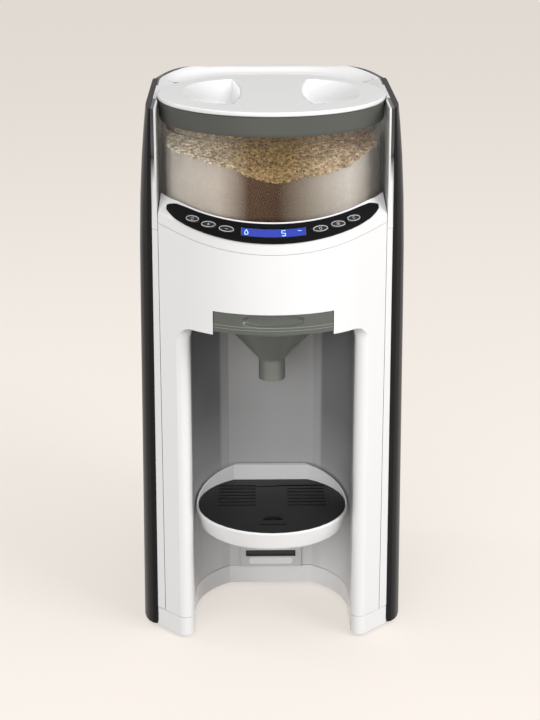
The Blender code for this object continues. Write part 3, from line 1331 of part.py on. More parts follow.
def dosing_chute():
    """Tube that leads the dose from the hopper's outlet down to the funnel."""
    inner = OUTLET_RADIUS
    outer = OUTLET_RADIUS + CHUTE_WALL
    flange = outer + CHUTE_FLANGE
    high = DECK_TOP
    seat = DECK_BOTTOM - GAP
    low = FUNNEL_TOP + CHUTE_END_GAP
    under = seat - CHUTE_FLANGE_HEIGHT
    profile = [(inner, high), (outer, high), (outer, seat), (flange, seat), (flange, under),
               (outer, under), (outer, low), (inner, low)]
    return finish_part(turned(profile, (0.0, OUTLET_Y), SMALL_STEPS, closed=True), "dosing_chute", NYLON)


# Funnel
def funnel_outline(inset):
    """Outline of the funnel's band: the front follows the cover, the back is round."""
    half = FUNNEL_HALF_WIDTH - inset
    back = arc((0.0, FUNNEL_CENTRE_Y), (half, half), 0.0, math.pi, BAY_STEPS)
    return front_run(inset, half, FRONT_STEPS // 2) + back


def funnel():
    """Smoked funnel: a shallow basin behind its front band, a cone and a spout."""
    low = FUNNEL_SHELF + GAP
    centre = (0.0, FUNNEL_CENTRE_Y)
    band = extruded([funnel_outline(0.0)], low, FUNNEL_TOP)
    cone_low = FUNNEL_SHELF - FUNNEL_CONE_HEIGHT
    spout_low = cone_low - SPOUT_LENGTH
    cone_top = low + FUNNEL_WALL / 2
    profile = [(0.0, cone_top), (FUNNEL_CONE_RADIUS, cone_top), (FUNNEL_CONE_RADIUS, FUNNEL_SHELF - GAP),
               (SPOUT_RADIUS * SPOUT_FLARE_SHARE, cone_low), (SPOUT_RADIUS, spout_low), (0.0, spout_low)]
    join(band, turned(profile, centre, SMALL_STEPS * 2))
    ledge = FUNNEL_TOP - FUNNEL_COVER_THICKNESS - FUNNEL_COVER_DROP
    floor = low + FUNNEL_WALL
    cut(band, extruded([funnel_outline(FUNNEL_WALL)], floor, FUNNEL_TOP + OVERRUN))
    cut(band, extruded([funnel_outline(FUNNEL_RIM_WALL)], ledge, FUNNEL_TOP + OVERRUN))
    bore = SPOUT_RADIUS - FUNNEL_WALL
    inner = FUNNEL_CONE_RADIUS - FUNNEL_WALL
    out = spout_low - OVERRUN * SHORT_SHARE
    profile = [(0.0, floor + FUNNEL_WALL), (inner, floor + FUNNEL_WALL), (inner, FUNNEL_SHELF),
               (bore * SPOUT_FLARE_SHARE, cone_low), (bore, out), (0.0, out)]
    cut(band, turned(profile, centre, SMALL_STEPS * 2))
    finish_part(band, "funnel", SMOKE, (*centre, FUNNEL_SHELF))
    plate = extruded([funnel_outline(FUNNEL_RIM_WALL + GAP)], ledge + GAP, FUNNEL_TOP - FUNNEL_COVER_DROP)
    mouth = (0.0, (OUTLET_Y + NOZZLE_Y) / 2)
    cut(plate, cylinder(FUNNEL_MOUTH_RADIUS, mouth, ledge - OVERRUN * SHORT_SHARE,
                        FUNNEL_TOP + OVERRUN))
    return finish_part(plate, "funnel_cover", SMOKE, (*centre, FUNNEL_SHELF))


# Tray
def tray_outline(radius, back):
    """Round outline with a straight back."""
    reach = math.asin(min(1.0, (back - TRAY_CENTRE_Y) / radius))
    return arc((0.0, TRAY_CENTRE_Y), (radius, radius), math.pi - reach, 2 * math.pi + reach,
               ROUND_STEPS - CORNER_STEPS)


def drip_tray():
    """White tray with a rounded rim, a wall that rises to the rail and a hook plate on the rail."""
    low = TRAY_TOP - TRAY_HEIGHT
    r = TRAY_RADIUS
    rounds = TRAY_EDGE_ROUND
    levels = [(low, r - TRAY_TAPER - rounds), (low + rounds, r - TRAY_TAPER), (TRAY_TOP - rounds / 2, r),
              (TRAY_TOP, r - rounds / 2)]
    tray = lofted([at_height(tray_outline(radius, TRAY_BACK_Y - GAP), z) for z, radius in levels])
    wall = extruded([tray_outline(r - rounds / 4, TRAY_BACK_Y - GAP * 2)], TRAY_TOP - rounds,
                    TRAY_TOP + TRAY_BACK_RISE)
    slope = TRAY_BACK_RISE / (TRAY_BACK_Y - TRAY_CENTRE_Y)
    over = TRAY_TOP + OVERRUN * 2
    front = TRAY_CENTRE_Y - r * 2
    back = TRAY_BACK_Y + OVERRUN
    fall = [(front, TRAY_TOP - slope * r * 2), (back, TRAY_TOP + slope * (back - TRAY_CENTRE_Y)),
            (back, over), (front, over)]
    cut(wall, extruded([fall], -r * 2, r * 2, "YZ"))
    join(tray, wall)
    seat = TRAY_TOP - GRILLE_THICKNESS
    seat_radius = r - TRAY_WALL
    cut(tray, extruded([tray_outline(seat_radius, TRAY_BACK_Y - TRAY_WALL * 2)], seat, TRAY_TOP + OVERRUN))
    pool = seat_radius - TRAY_LEDGE - TRAY_TAPER
    cut(tray, extruded([tray_outline(pool, TRAY_BACK_Y - TRAY_WALL * 3)], low + TRAY_FLOOR,
                       seat + OVERRUN * SHORT_SHARE))
    half = RAIL_WIDTH / 2 + SLIDE_GAP
    cheek = half + TRAY_CHEEK
    deep = BAY_BACK_Y - SLIDE_GAP
    face = TRAY_BACK_Y - TRAY_WALL * 2
    hook = [(-cheek, deep), (-cheek, face), (cheek, face), (cheek, deep), (half, deep),
            (half, TRAY_BACK_Y), (-half, TRAY_BACK_Y), (-half, deep)]
    join(tray, extruded([hook], low - TRAY_HOOK_DROP, low + TRAY_FLOOR / 2))
    return finish_part(tray, "tray_body", WHITE, (0.0, TRAY_CENTRE_Y, low))


def tray_grille():
    """Black slotted plate that lies in the tray."""
    low = TRAY_TOP - GRILLE_THICKNESS + GAP
    high = TRAY_TOP + GAP
    radius = TRAY_RADIUS - TRAY_WALL - GAP
    holes = []
    half = GRILLE_SLOT_LENGTH / 2
    end = GRILLE_SLOT_WIDTH / 2
    for i in range(GRILLE_SLOT_ROWS):
        y = GRILLE_SLOT_BACK_Y - i * GRILLE_SLOT_PITCH
        for side in (-1, 1):
            x = side * GRILLE_SLOT_OFFSET
            holes.append(arc((x + half, y), (end, end), -math.pi / 2, math.pi / 2, 3)
                         + arc((x - half, y), (end, end), math.pi / 2, 3 * math.pi / 2, 3))
    tab = arc((0.0, GRILLE_TAB_Y), (GRILLE_TAB_RADIUS, GRILLE_TAB_RADIUS), 0.0, math.pi, 8)
    holes.append(tab)
    wide = GRILLE_TAB_SLOT / 2
    y = GRILLE_TAB_Y - GRILLE_TAB_RADIUS
    holes.append(arc((wide, y), (end, end), -math.pi / 2, math.pi / 2, 3)
                 + arc((-wide, y), (end, end), math.pi / 2, 3 * math.pi / 2, 3))
    outline = tray_outline(radius, TRAY_BACK_Y - TRAY_WALL * 2 - GAP)
    return finish_part(extruded([outline] + holes, low, high), "tray_grille", TRAY_BLACK,
                       (0.0, TRAY_CENTRE_Y, low))


# Water circuit inside
def water_circuit():
    """Heater, pump, hoses and nozzle."""
    low = BASE_TOP + GAP
    heater_top = low + HEATER_HEIGHT
    r = HEATER_RADIUS
    cap = HEATER_CAP
    profile = [(0.0, heater_top), (r, heater_top), (r, heater_top - cap), (r - cap / 2, heater_top - cap),
               (r - cap / 2, low + cap), (r, low + cap), (r, low), (0.0, low)]
    finish_part(turned(profile, (HEATER_X, CIRCUIT_Y), SMALL_STEPS), "water_heater", STEEL)
    pump_top = low + PUMP_HEIGHT
    pump = cylinder(PUMP_RADIUS, (PUMP_X, CIRCUIT_Y), low, pump_top)
    head = PUMP_HEAD_HALF_WIDTH
    join(pump, box((PUMP_X - head, CIRCUIT_Y - head, pump_top - PUMP_HEAD / 4),
                   (PUMP_X + head, CIRCUIT_Y + head, pump_top + PUMP_HEAD)))
    finish_part(pump, "water_pump", GREY)
    top = pump_top + PUMP_HEAD
    seat = TANK_BOTTOM - VALVE_DROP - SEAT_DROP
    start = Vector((0.0, TANK_CENTRE_Y, seat - GAP))
    end = Vector((PUMP_X, CIRCUIT_Y, top + GAP))
    finish_part(tube(hose_points(start, end), HOSE_RADIUS), "inlet_hose", SILICONE)
    z = low + HOSE_HEAD_HEIGHT + PUMP_HEIGHT
    start = Vector((PUMP_X - PUMP_HEAD_HALF_WIDTH - GAP, CIRCUIT_Y, z))
    end = Vector((HEATER_X + HEATER_RADIUS - HEATER_CAP / 2 + GAP, CIRCUIT_Y, z))
    finish_part(tube([start, start.lerp(end, 0.5), end], HOSE_RADIUS), "heater_hose", SILICONE)
    nozzle_low = FUNNEL_TOP + CHUTE_END_GAP
    profile = [(NOZZLE_BORE, CARRIER_BOTTOM - GAP), (NOZZLE_RADIUS, CARRIER_BOTTOM - GAP),
               (NOZZLE_RADIUS, nozzle_low), (NOZZLE_BORE, nozzle_low)]
    finish_part(turned(profile, (NOZZLE_X, NOZZLE_Y), TINY_STEPS, closed=True), "water_nozzle", NYLON)
    rise = (CARRIER_BOTTOM + nozzle_low) / 2
    start = Vector((HEATER_X, CIRCUIT_Y, heater_top + GAP))
    end = Vector((NOZZLE_X - NOZZLE_RADIUS - GAP, NOZZLE_Y, rise))
    points = smooth_run([start, Vector((HEATER_X, CIRCUIT_Y, rise - HEATER_RADIUS)),
                         Vector((HEATER_X, CIRCUIT_Y - HEATER_RADIUS, rise)),
                         Vector((HEATER_X, NOZZLE_Y + HEATER_RADIUS, rise)),
                         Vector((HEATER_X + HEATER_RADIUS / 2, NOZZLE_Y, rise)), end])
    finish_part(tube(points, HOSE_RADIUS), "outlet_hose", SILICONE)


def hose_points(start, end):
    """A hose that leaves both ends upright and swings across in between."""
    drop = (start.z - end.z) / 3
    run = []
    steps = 10
    for i in range(steps + 1):
        t = i / steps
        ease = t * t * (3 - 2 * t)
        place = start.lerp(end, ease)
        place.z = start.z + (end.z - start.z) * t
        run.append(place)
    run[1].xy = run[0].xy
    run[-2].xy = run[-1].xy
    run[1].z = run[0].z - drop / 3
    return run


def smooth_run(points, steps=4):
    """Points of a smooth curve through the given ones."""
    ends = [points[0] * 2 - points[1]] + points + [points[-1] * 2 - points[-2]]
    run = []
    for i in range(1, len(ends) - 2):
        a, b, c, d = ends[i - 1:i + 3]
        for j in range(steps):
            t = j / steps
            run.append(b + (c - a) * t / 2 + (a - b * 2.5 + c * 2 - d / 2) * t ** 2
                       + (b * 1.5 - a / 2 - c * 1.5 + d / 2) * t ** 3)
    run.append(points[-1])
    return run


# Boards and inlet
def electrics():
    """Main board, display board and power inlet."""
    back = HOUSING_REAR_Y - HOUSING_REAR_WALL - GAP
    face = back - BOARD_THICKNESS
    half = MAIN_BOARD_HALF_WIDTH
    low = MAIN_BOARD_BOTTOM
    board = box((-half, face, low), (half, back, low + MAIN_BOARD_HEIGHT))
    wide, deep, tall = RELAY_SIZE
    middle = low + MAIN_BOARD_HEIGHT / 2
    for x in (-half / 2, half / 4):
        join(board, box((x, face - deep, middle), (x + wide, face + BOARD_THICKNESS / 2, middle + tall)))
    for share in CAPACITOR_SHARES:
        join(board, cylinder(CAPACITOR_RADIUS, (half * (2 * share - 1), low + CAPACITOR_RADIUS * 2),
                             face - CAPACITOR_HEIGHT, face + BOARD_THICKNESS / 2, TINY_STEPS, "Y"))
    finish_part(board, "main_board", BOARD)
    high = DECK_BOTTOM - GAP
    half = DISPLAY_BOARD_HALF_WIDTH
    front = HOPPER_CENTRE_Y - math.sqrt((POCKET_RADIUS - SLIDE_GAP) ** 2 - half ** 2)
    finish_part(box((-half, front, high - BOARD_THICKNESS), (half, front + DISPLAY_BOARD_DEPTH, high)),
                "display_board", BOARD)
    wide = INLET_HALF_WIDTH
    tall = INLET_HALF_HEIGHT
    inlet = box((-wide, REAR_Y - INLET_DEPTH, INLET_Z - tall), (wide, REAR_Y - GAP, INLET_Z + tall))
    rim = INLET_SOCKET_INSET
    cut(inlet, box((-wide + rim, REAR_Y - INLET_SOCKET_DEPTH, INLET_Z - tall + rim),
                   (wide - rim, REAR_Y + OVERRUN, INLET_Z + tall - rim)))
    for x, z in ((-INLET_PIN_PITCH, 0.0), (INLET_PIN_PITCH, 0.0), (0.0, INLET_PIN_PITCH / 2)):
        floor = REAR_Y - INLET_SOCKET_DEPTH - rim
        join(inlet, box((x - INLET_PIN_HALF, floor, INLET_Z + z - INLET_PIN_HALF * 2),
                        (x + INLET_PIN_HALF, floor + INLET_PIN_LENGTH, INLET_Z + z + INLET_PIN_HALF * 2)))
    return finish_part(inlet, "power_inlet", RUBBER)


base_plate()
feet()
main_housing()
front_cover()
control_collar()
panel_overlay()
display_window()
buttons()
bay_liner()
tray_rail()
side_casing("side_casing_right", 1)
side_casing("side_casing_left", -1)
rear_casing()
water_tank()
tank_lid()
tank_fittings()
hopper()
lid_parts()
dosing_wheel()
stirrer()
drive_train()
funnel()
drip_tray()
tray_grille()
water_circuit()
electrics()
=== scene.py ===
# %% [markdown]
# # A baby formula maker, dressed
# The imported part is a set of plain, exact solids: it has the sizes, the walls and the joints.
# This lesson keeps every solid where it is and gives it what a mould and a studio give it:
# soft edges, finishes with a little life in them, powder behind the clear wall, and light.

import json
import math

import bmesh
import bpy
from mathutils import Matrix, Vector, noise
from mathutils.bvhtree import BVHTree


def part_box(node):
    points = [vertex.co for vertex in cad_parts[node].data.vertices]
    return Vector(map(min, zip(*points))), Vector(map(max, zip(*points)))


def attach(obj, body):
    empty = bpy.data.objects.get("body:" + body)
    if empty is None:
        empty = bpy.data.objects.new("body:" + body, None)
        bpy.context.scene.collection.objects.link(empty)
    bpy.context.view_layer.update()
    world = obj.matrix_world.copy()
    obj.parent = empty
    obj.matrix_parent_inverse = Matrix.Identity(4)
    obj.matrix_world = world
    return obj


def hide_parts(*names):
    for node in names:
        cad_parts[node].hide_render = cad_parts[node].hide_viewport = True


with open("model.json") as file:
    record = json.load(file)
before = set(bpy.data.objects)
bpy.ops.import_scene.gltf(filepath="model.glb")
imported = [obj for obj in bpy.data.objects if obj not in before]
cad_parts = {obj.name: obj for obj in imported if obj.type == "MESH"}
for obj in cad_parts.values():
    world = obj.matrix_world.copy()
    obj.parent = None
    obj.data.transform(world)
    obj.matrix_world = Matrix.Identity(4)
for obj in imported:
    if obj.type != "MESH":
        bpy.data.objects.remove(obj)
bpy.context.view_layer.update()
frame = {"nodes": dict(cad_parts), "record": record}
record = frame["record"]
BODY_OF = {node: body for body, nodes in record["behaviour"]["bodies"].items() for node in nodes}
SLOT_OF = {row["node"]: row["material_slot"] for row in record["subparts"]}

# %% [markdown]
# ## Where the camera stands
# The photo looks slightly down on the machine with a long lens, so the sides stay nearly
# parallel. The focal length in pixels, the tilt and the height came from the object's own
# measures. The lens follows from the focal length, because the sensor's 36 mm span the
# picture's height.

# %% Camera
FOCAL_PIXELS = 1762.0
PICTURE_HEIGHT = 720.0
SENSOR_MM = 36.0
CAMERA_PLACE = (-0.020, -1.243, 0.595)
CAMERA_TILT = math.radians(18.3)
CAMERA_TURN = 0.0156

lens = bpy.data.cameras.new("portrait_lens")
lens.sensor_width = SENSOR_MM
lens.lens = FOCAL_PIXELS / PICTURE_HEIGHT * SENSOR_MM
camera = bpy.data.objects.new("portrait_camera", lens)
camera.location = CAMERA_PLACE
camera.rotation_euler = (math.pi / 2 - CAMERA_TILT, 0.0, -CAMERA_TURN)
bpy.context.scene.collection.objects.link(camera)
bpy.context.scene.camera = camera
bpy.context.scene.view_settings.view_transform = "Standard"
print("lens:", round(lens.lens, 1), "mm")

# %% [markdown]
# ## A way to name nodes
# A material is a small graph. These helpers add a node, set its sockets by name and wire it,
# so that each finish below reads as a short recipe.

# %% Node helpers
def add_node(tree, kind, inputs=None, **settings):
    """Add a node, set its properties and its inputs, by value or by link."""
    node = tree.nodes.new(kind)
    for name, value in settings.items():
        setattr(node, name, value)
    for name, value in (inputs or {}).items():
        if isinstance(value, bpy.types.NodeSocket):
            tree.links.new(value, node.inputs[name])
        else:
            node.inputs[name].default_value = value
    return node


def add_sockets(group, way, kind, *names):
    """Give a group its named inputs or outputs."""
    return [group.interface.new_socket(name, in_out=way, socket_type="NodeSocket" + kind)
            for name in names]


def blank(name, kind="materials"):
    """A new material, or world, and its empty tree."""
    block = getattr(bpy.data, kind).new(name)
    block.use_nodes = True
    block.node_tree.nodes.clear()
    return block, block.node_tree


def colour(red, green, blue):
    """A colour from the 0 to 255 numbers of a picture, made linear."""
    def linear(value):
        value /= 255.0
        return value / 12.92 if value <= 0.04045 else ((value + 0.055) / 1.055) ** 2.4
    return (linear(red), linear(green), linear(blue), 1.0)


def stops(tree, factor, marks):
    """A colour ramp with marks of (place, colour)."""
    ramp = add_node(tree, "ShaderNodeValToRGB", {"Fac": factor})
    line = ramp.color_ramp.elements
    while len(line) < len(marks):
        line.new(0.5)
    for mark, (place, _) in zip(line, marks):
        mark.position = place
    for mark, (_, shade) in zip(line, marks):
        mark.color = shade
    return ramp.outputs["Color"]


def place_on(tree, axis=None):
    """The place on the object, or its measure along one axis."""
    where = add_node(tree, "ShaderNodeTexCoord").outputs["Object"]
    if axis is None:
        return where
    return add_node(tree, "ShaderNodeSeparateXYZ", {"Vector": where}).outputs[axis]


def painted_mask(tree, name):
    """A mask that a mesh carries."""
    return add_node(tree, "ShaderNodeAttribute", attribute_name=name).outputs["Fac"]


def mottled(tree, scale, detail=2.0, roughness=0.5):
    """Noise that stays fixed to the object."""
    return add_node(tree, "ShaderNodeTexNoise",
                    {"Vector": place_on(tree), "Scale": scale, "Detail": detail,
                     "Roughness": roughness}).outputs["Fac"]


def between(tree, value, low, high):
    """0 where a value is low and 1 where it is high."""
    return add_node(tree, "ShaderNodeMapRange",
                    {"Value": value, "From Min": low, "From Max": high}).outputs[0]


def along(tree, axis, low, high):
    """A value from 0 to 1 between two heights, widths or depths of the object."""
    return between(tree, place_on(tree, axis), low, high)


def reckon(tree, operation, *values, clamp=False):
    """The result of a Math node."""
    return add_node(tree, "ShaderNodeMath", dict(enumerate(values)), operation=operation,
                    use_clamp=clamp).outputs[0]


def mixed(tree, share, first, second, way="MIX"):
    """Two colours mixed by a share."""
    return add_node(tree, "ShaderNodeMix", {0: share, 6: first, 7: second}, data_type="RGBA",
                    blend_type=way).outputs[2]


print("mid grey is", [round(v, 3) for v in colour(128, 128, 128)[:3]])

# %% [markdown]
# ## The grain that every moulding shares
# No moulded face is perfectly even: its colour drifts a little, its gloss has faint patches
# and its skin has a fine orange peel. One node group holds that, and each finish puts in its
# own amounts. The pattern reads Object coordinates, so it stays fixed to the piece.

# %% Mould skin group
def mould_skin_group():
    """Colour drift, gloss patches and orange peel, ready to feed a shader."""
    group = bpy.data.node_groups.new("mould_skin", "ShaderNodeTree")
    add_sockets(group, "INPUT", "Color", "Colour")
    add_sockets(group, "INPUT", "Float", "Drift", "Roughness", "Patches", "Grain")
    add_sockets(group, "OUTPUT", "Color", "Colour")
    add_sockets(group, "OUTPUT", "Float", "Roughness", "Height")
    given = add_node(group, "NodeGroupInput").outputs
    centred = reckon(group, "SUBTRACT", mottled(group, 14.0, 3.0), 0.5)
    drift = reckon(group, "MULTIPLY_ADD", centred, given["Drift"], 1.0)
    tinted = add_node(group, "ShaderNodeVectorMath", {0: given["Colour"], "Scale": drift},
                      operation="SCALE")
    patches = reckon(group, "MULTIPLY_ADD", centred, given["Patches"], given["Roughness"], clamp=True)
    add_node(group, "NodeGroupOutput", {"Colour": tinted.outputs[0], "Roughness": patches,
                                        "Height": mottled(group, given["Grain"])})
    return group


MOULD_SKIN = mould_skin_group()
print("group:", MOULD_SKIN.name, "with", len(MOULD_SKIN.nodes), "nodes")

# %% [markdown]
# ## Finishes
# The machine is mostly glossy white plastic between two glossy black casings. Clear plastic
# shows the powder, smoked plastic makes the funnel, and the rest is satin. A finish is the
# shared skin plus the shader's own sockets. See-through plastic lets shadow rays pass, since
# a thin wall throws hardly any shadow.

# %% Finish recipe
WHITE = (0.90, 0.90, 0.905, 1)
NOTHING, EVERYTHING = (0, 0, 0, 1), (1, 1, 1, 1)
COAT_ROUGHNESS = 0.05
PEEL_HEIGHT = 0.0002


def finish(name, shade, roughness, drift=0.03, patches=0.06, grain=900.0, bump=0.04,
           metallic=0.0, coat=0.0, clear=0.0, ior=1.5, paint=None, specular=0.5, glow=0.0):
    """One material: the mould skin feeding a Principled shader; paint may vary the colour."""
    material, tree = blank(name)
    skin = add_node(tree, "ShaderNodeGroup",
                    {"Colour": shade, "Drift": drift, "Roughness": roughness, "Patches": patches,
                     "Grain": grain}, node_tree=MOULD_SKIN)
    if paint:
        tree.links.new(paint(tree), skin.inputs["Colour"])
    skin = skin.outputs
    peel = add_node(tree, "ShaderNodeBump", {"Strength": bump, "Distance": PEEL_HEIGHT,
                                             "Height": skin["Height"]})
    sockets = {"Base Color": skin["Colour"], "Roughness": skin["Roughness"],
               "Normal": peel.outputs["Normal"], "Metallic": metallic, "IOR": ior,
               "Specular IOR Level": specular, "Coat Weight": coat,
               "Coat Roughness": COAT_ROUGHNESS, "Transmission Weight": clear}
    if glow:
        sockets.update({"Emission Color": skin["Colour"], "Emission Strength": glow})
    surface = add_node(tree, "ShaderNodeBsdfPrincipled", sockets).outputs[0]
    if clear > 0.3:
        path = add_node(tree, "ShaderNodeLightPath").outputs["Is Shadow Ray"]
        passing = add_node(tree, "ShaderNodeBsdfTransparent", {"Color": skin["Colour"]}).outputs[0]
        surface = add_node(tree, "ShaderNodeMixShader", {0: path, 1: surface, 2: passing}).outputs[0]
    add_node(tree, "ShaderNodeOutputMaterial", {"Surface": surface})
    return material


def painted_liner_shade(tree):
    """Painted shade in the bay: dark grey high up under the overhang, fading to pale grey at its foot
    and to white at its front edge, a little lighter on the flat back wall, with a dark grey patch low
    in the middle.
    """
    tone = stops(tree, along(tree, "Z", 0.02, 0.16),
                 [(0.0, colour(232, 232, 233)), (0.38, colour(205, 205, 206)),
                  (0.62, colour(158, 158, 160)), (0.9, colour(128, 128, 130))])
    front = stops(tree, along(tree, "Y", -0.112, -0.066),
                  [(0.0, EVERYTHING), (0.5, (0.45, 0.45, 0.45, 1)), (1.0, NOTHING)])
    tone = mixed(tree, front, tone, colour(246, 246, 246))
    lighter = mixed(tree, 0.42, tone, colour(215, 215, 215))
    tone = mixed(tree, along(tree, "Y", -0.0042, -0.0022), tone, lighter)
    narrow = between(tree, reckon(tree, "ABSOLUTE", place_on(tree, "X")), 0.0215, 0.0205)
    deep = reckon(tree, "MULTIPLY", narrow, along(tree, "Z", 0.0870, 0.0860))
    return mixed(tree, deep, tone, colour(60, 60, 62))


def painted_rail_shade(tree):
    """White rail in painted shade: pale grey on its face and dark grey inside the slots."""
    inside = stops(tree, along(tree, "Y", -0.0006, -0.0003), [(0.0, NOTHING), (1.0, EVERYTHING)])
    return mixed(tree, inside, colour(212, 212, 213), colour(84, 84, 86))


FINISHES = {
    "white_plastic": finish("white_gloss", WHITE, 0.2, drift=0.012, coat=0.25),
    "black_gloss": finish("black_gloss", (0.017, 0.017, 0.018, 1), 0.30, specular=0.07),
    "ring_grey": finish("ring_satin", colour(88, 90, 85), 0.5, bump=0.08, specular=0.22),
    # The bay liner's colour is painted shade, dark under the overhang and pale towards the foot and the
    # front.
    "liner_grey": finish("bay_liner_in_painted_shade", colour(150, 150, 152), 0.36, paint=painted_liner_shade, specular=0.3),
    "clear_plastic": finish("clear_wall", (0.97, 0.97, 0.965, 1), 0.02, drift=0.008,
                            patches=0.02, bump=0.0, clear=1.0, ior=1.2),
    "smoke_plastic": finish("smoked_plastic", colour(112, 116, 110), 0.16, patches=0.05, bump=0.0,
                            clear=0.42, ior=1.45),
    "grille_black": finish("grille_matte", (0.013, 0.013, 0.014, 1), 0.5, bump=0.15, grain=2500,
                           specular=0.25),
    "display_blue": finish("display_blue", (0.02, 0.035, 0.42, 1), 0.1),
    "button_black": finish("button_satin", (0.018, 0.018, 0.02, 1), 0.42, bump=0.08, specular=0.2),
    "rubber": finish("foot_rubber", (0.025, 0.025, 0.025, 1), 0.75, bump=0.3, grain=2000),
    "steel": finish("brushed_steel", (0.6, 0.6, 0.61, 1), 0.28, metallic=1.0, grain=300),
    "board_green": finish("board_green", (0.02, 0.16, 0.06, 1), 0.4, bump=0.3, grain=400),
    "nylon": finish("natural_nylon", (0.78, 0.76, 0.7, 1), 0.42),
    "silicone": finish("milky_silicone", (0.74, 0.73, 0.7, 1), 0.5),
}
OVERLAY_BLACK = finish("overlay_black", (0.006, 0.006, 0.0065, 1), 0.5, bump=0.0, specular=0.06)
# The rail is white; its pale grey face and dark slots are painted shade.
RAIL_FINISH_WITH_PAINTED_SHADE = finish("white_rail_in_painted_shade", colour(205, 205, 206), 0.36, paint=painted_rail_shade, specular=0.3)
CLEAR_SEAL = finish("clear_seal", (0.97, 0.96, 0.94, 1), 0.1, bump=0.0, clear=1.0, ior=1.08)
print("finishes:", ", ".join(sorted(FINISHES)))

# %% [markdown]
# ## Finishing the solids
# The frame's meshes are loose triangles with knife edges. A copy is welded, its flat faces are
# joined again, and every hard edge gets the small radius that a mould needs. The new piece
# replaces the solid in the picture and moves with the same body.

# %% Dressing helpers
SIDEWAYS, BACKWARDS, UP = Vector((1, 0, 0)), Vector((0, 1, 0)), Vector((0, 0, 1))
WELD = 0.00001
FACET_ANGLE = math.radians(31)
FLAT_ANGLE = math.radians(0.4)


def opened(mesh):
    """A mesh, open for edits."""
    bm = bmesh.new()
    bm.from_mesh(mesh)
    return bm


def welded_copy(node):
    """A bmesh of a frame node with shared corners and whole flat faces."""
    bm = opened(frame["nodes"][node].data)
    bmesh.ops.remove_doubles(bm, verts=bm.verts, dist=WELD)
    bmesh.ops.dissolve_limit(bm, angle_limit=FLAT_ANGLE, verts=bm.verts, edges=bm.edges)
    return bm


def sliced(bm, faces, place, across):
    """Cut some faces along a plane."""
    edges = {e for f in faces for e in f.edges}
    corners = {v for f in faces for v in f.verts}
    bmesh.ops.bisect_plane(bm, geom=faces + list(edges) + list(corners), dist=1e-6,
                           plane_co=place, plane_no=across)


def as_mesh(bm, name, outward=True):
    """Turn a bmesh into a smooth-shaded mesh, with its faces pointing outwards."""
    if outward:
        bmesh.ops.recalc_face_normals(bm, faces=bm.faces)
    mesh = bpy.data.meshes.new(name)
    bm.to_mesh(mesh)
    bm.free()
    mesh.shade_smooth()
    return mesh


def made(bm, name, *materials, outward=True):
    """Put a finished bmesh in the scene as a piece."""
    mesh = as_mesh(bm, name, outward)
    piece = bpy.data.objects.new(name, mesh)
    bpy.context.scene.collection.objects.link(piece)
    for material in materials:
        mesh.materials.append(material)
    return piece


def settle(piece, angle=30):
    """Apply what the modifiers do, mark the hard edges and leave a plain mesh."""
    bpy.context.view_layer.update()
    shape = piece.evaluated_get(bpy.context.evaluated_depsgraph_get())
    mesh = bpy.data.meshes.new_from_object(shape)
    piece.modifiers.clear()
    piece.data = mesh
    mesh.set_sharp_from_angle(angle=math.radians(angle))
    return piece


def even(piece):
    """Shade a piece by its large faces, so that small fillets don't darken them."""
    piece.modifiers.new("even_shading", "WEIGHTED_NORMAL").keep_sharp = True
    return piece


def carve(piece, *tools):
    """Cut tools out of a piece, then throw the tools away."""
    for tool in tools:
        step = piece.modifiers.new("carve", "BOOLEAN")
        step.operation = "DIFFERENCE"
        step.solver = "EXACT"
        step.object = tool
    settle(piece)
    for tool in tools:
        bpy.data.objects.remove(tool, do_unlink=True)
    return piece


def stand_for(piece, node):
    """Let a piece replace a node and ride on its body."""
    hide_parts(node)
    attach(piece, BODY_OF[node])
    return piece


def dressed(node, edge, segments=2, material=None, done=True):
    """A node with rounded edges, in its finish, on its body."""
    piece = made(welded_copy(node), node + "_skin", material or FINISHES[SLOT_OF[node]], outward=False)
    bevel = piece.modifiers.new("mould_radius", "BEVEL")
    bevel.width = edge
    bevel.segments = segments
    bevel.limit_method = "ANGLE"
    bevel.angle_limit = FACET_ANGLE
    bevel.use_clamp_overlap = True
    bevel.miter_outer = "MITER_ARC"
    settle(even(piece), 50)
    return stand_for(piece, node) if done else piece


EDGES = {
    "base_plate": 0.0006, "main_housing": 0.0008, "front_cover": 0.0008, "control_collar": 0.0004,
    "bay_liner": 0.0005, "side_casing_right": 0.0010, "side_casing_left": 0.0010,
    "rear_casing": 0.0006, "tray_body": 0.0005, "tray_grille": 0.0002, "funnel_cover": 0.0002,
}
for node, edge in EDGES.items():
    dressed(node, edge)
dressed("panel_overlay", 0.00015, material=OVERLAY_BLACK)
dressed("tray_rail", 0.0003, material=RAIL_FINISH_WITH_PAINTED_SHADE)
print("dressed:", len(EDGES) + 2, "solids")

# %% [markdown]
# ## Round pieces with round walls
# The hopper and its ring are turned parts. In the solids they have 40 flats, which a glossy
# finish would show, so they are spun again from the same profile with four times as many, and
# each corner of the profile gets its radius before it is spun.

# %% Turned pieces
POCKET = Vector((0.0, -0.0275, 0.0))
ROUND = 160


def softened(profile, radius, closed):
    """Round the corners of a profile with short curves."""
    count = len(profile)
    run = []
    for i, corner in enumerate(profile):
        if not closed and i in (0, count - 1):
            run.append(corner)
            continue
        here = Vector(corner)
        before = Vector(profile[i - 1]) - here
        after = Vector(profile[(i + 1) % count]) - here
        reach = min(radius, before.length * 0.45, after.length * 0.45)
        start = here + before.normalized() * reach
        stop = here + after.normalized() * reach
        for share in (0.0, 0.25, 0.5, 0.75, 1.0):
            point = start.lerp(here, share).lerp(here.lerp(stop, share), share)
            run.append((max(0.0, point.x), point.y))
    return run


def circle(radius, steps):
    """Points of a circle round nought."""
    turns = (2 * math.pi * k / steps for k in range(steps))
    return [(radius * math.cos(a), radius * math.sin(a)) for a in turns]


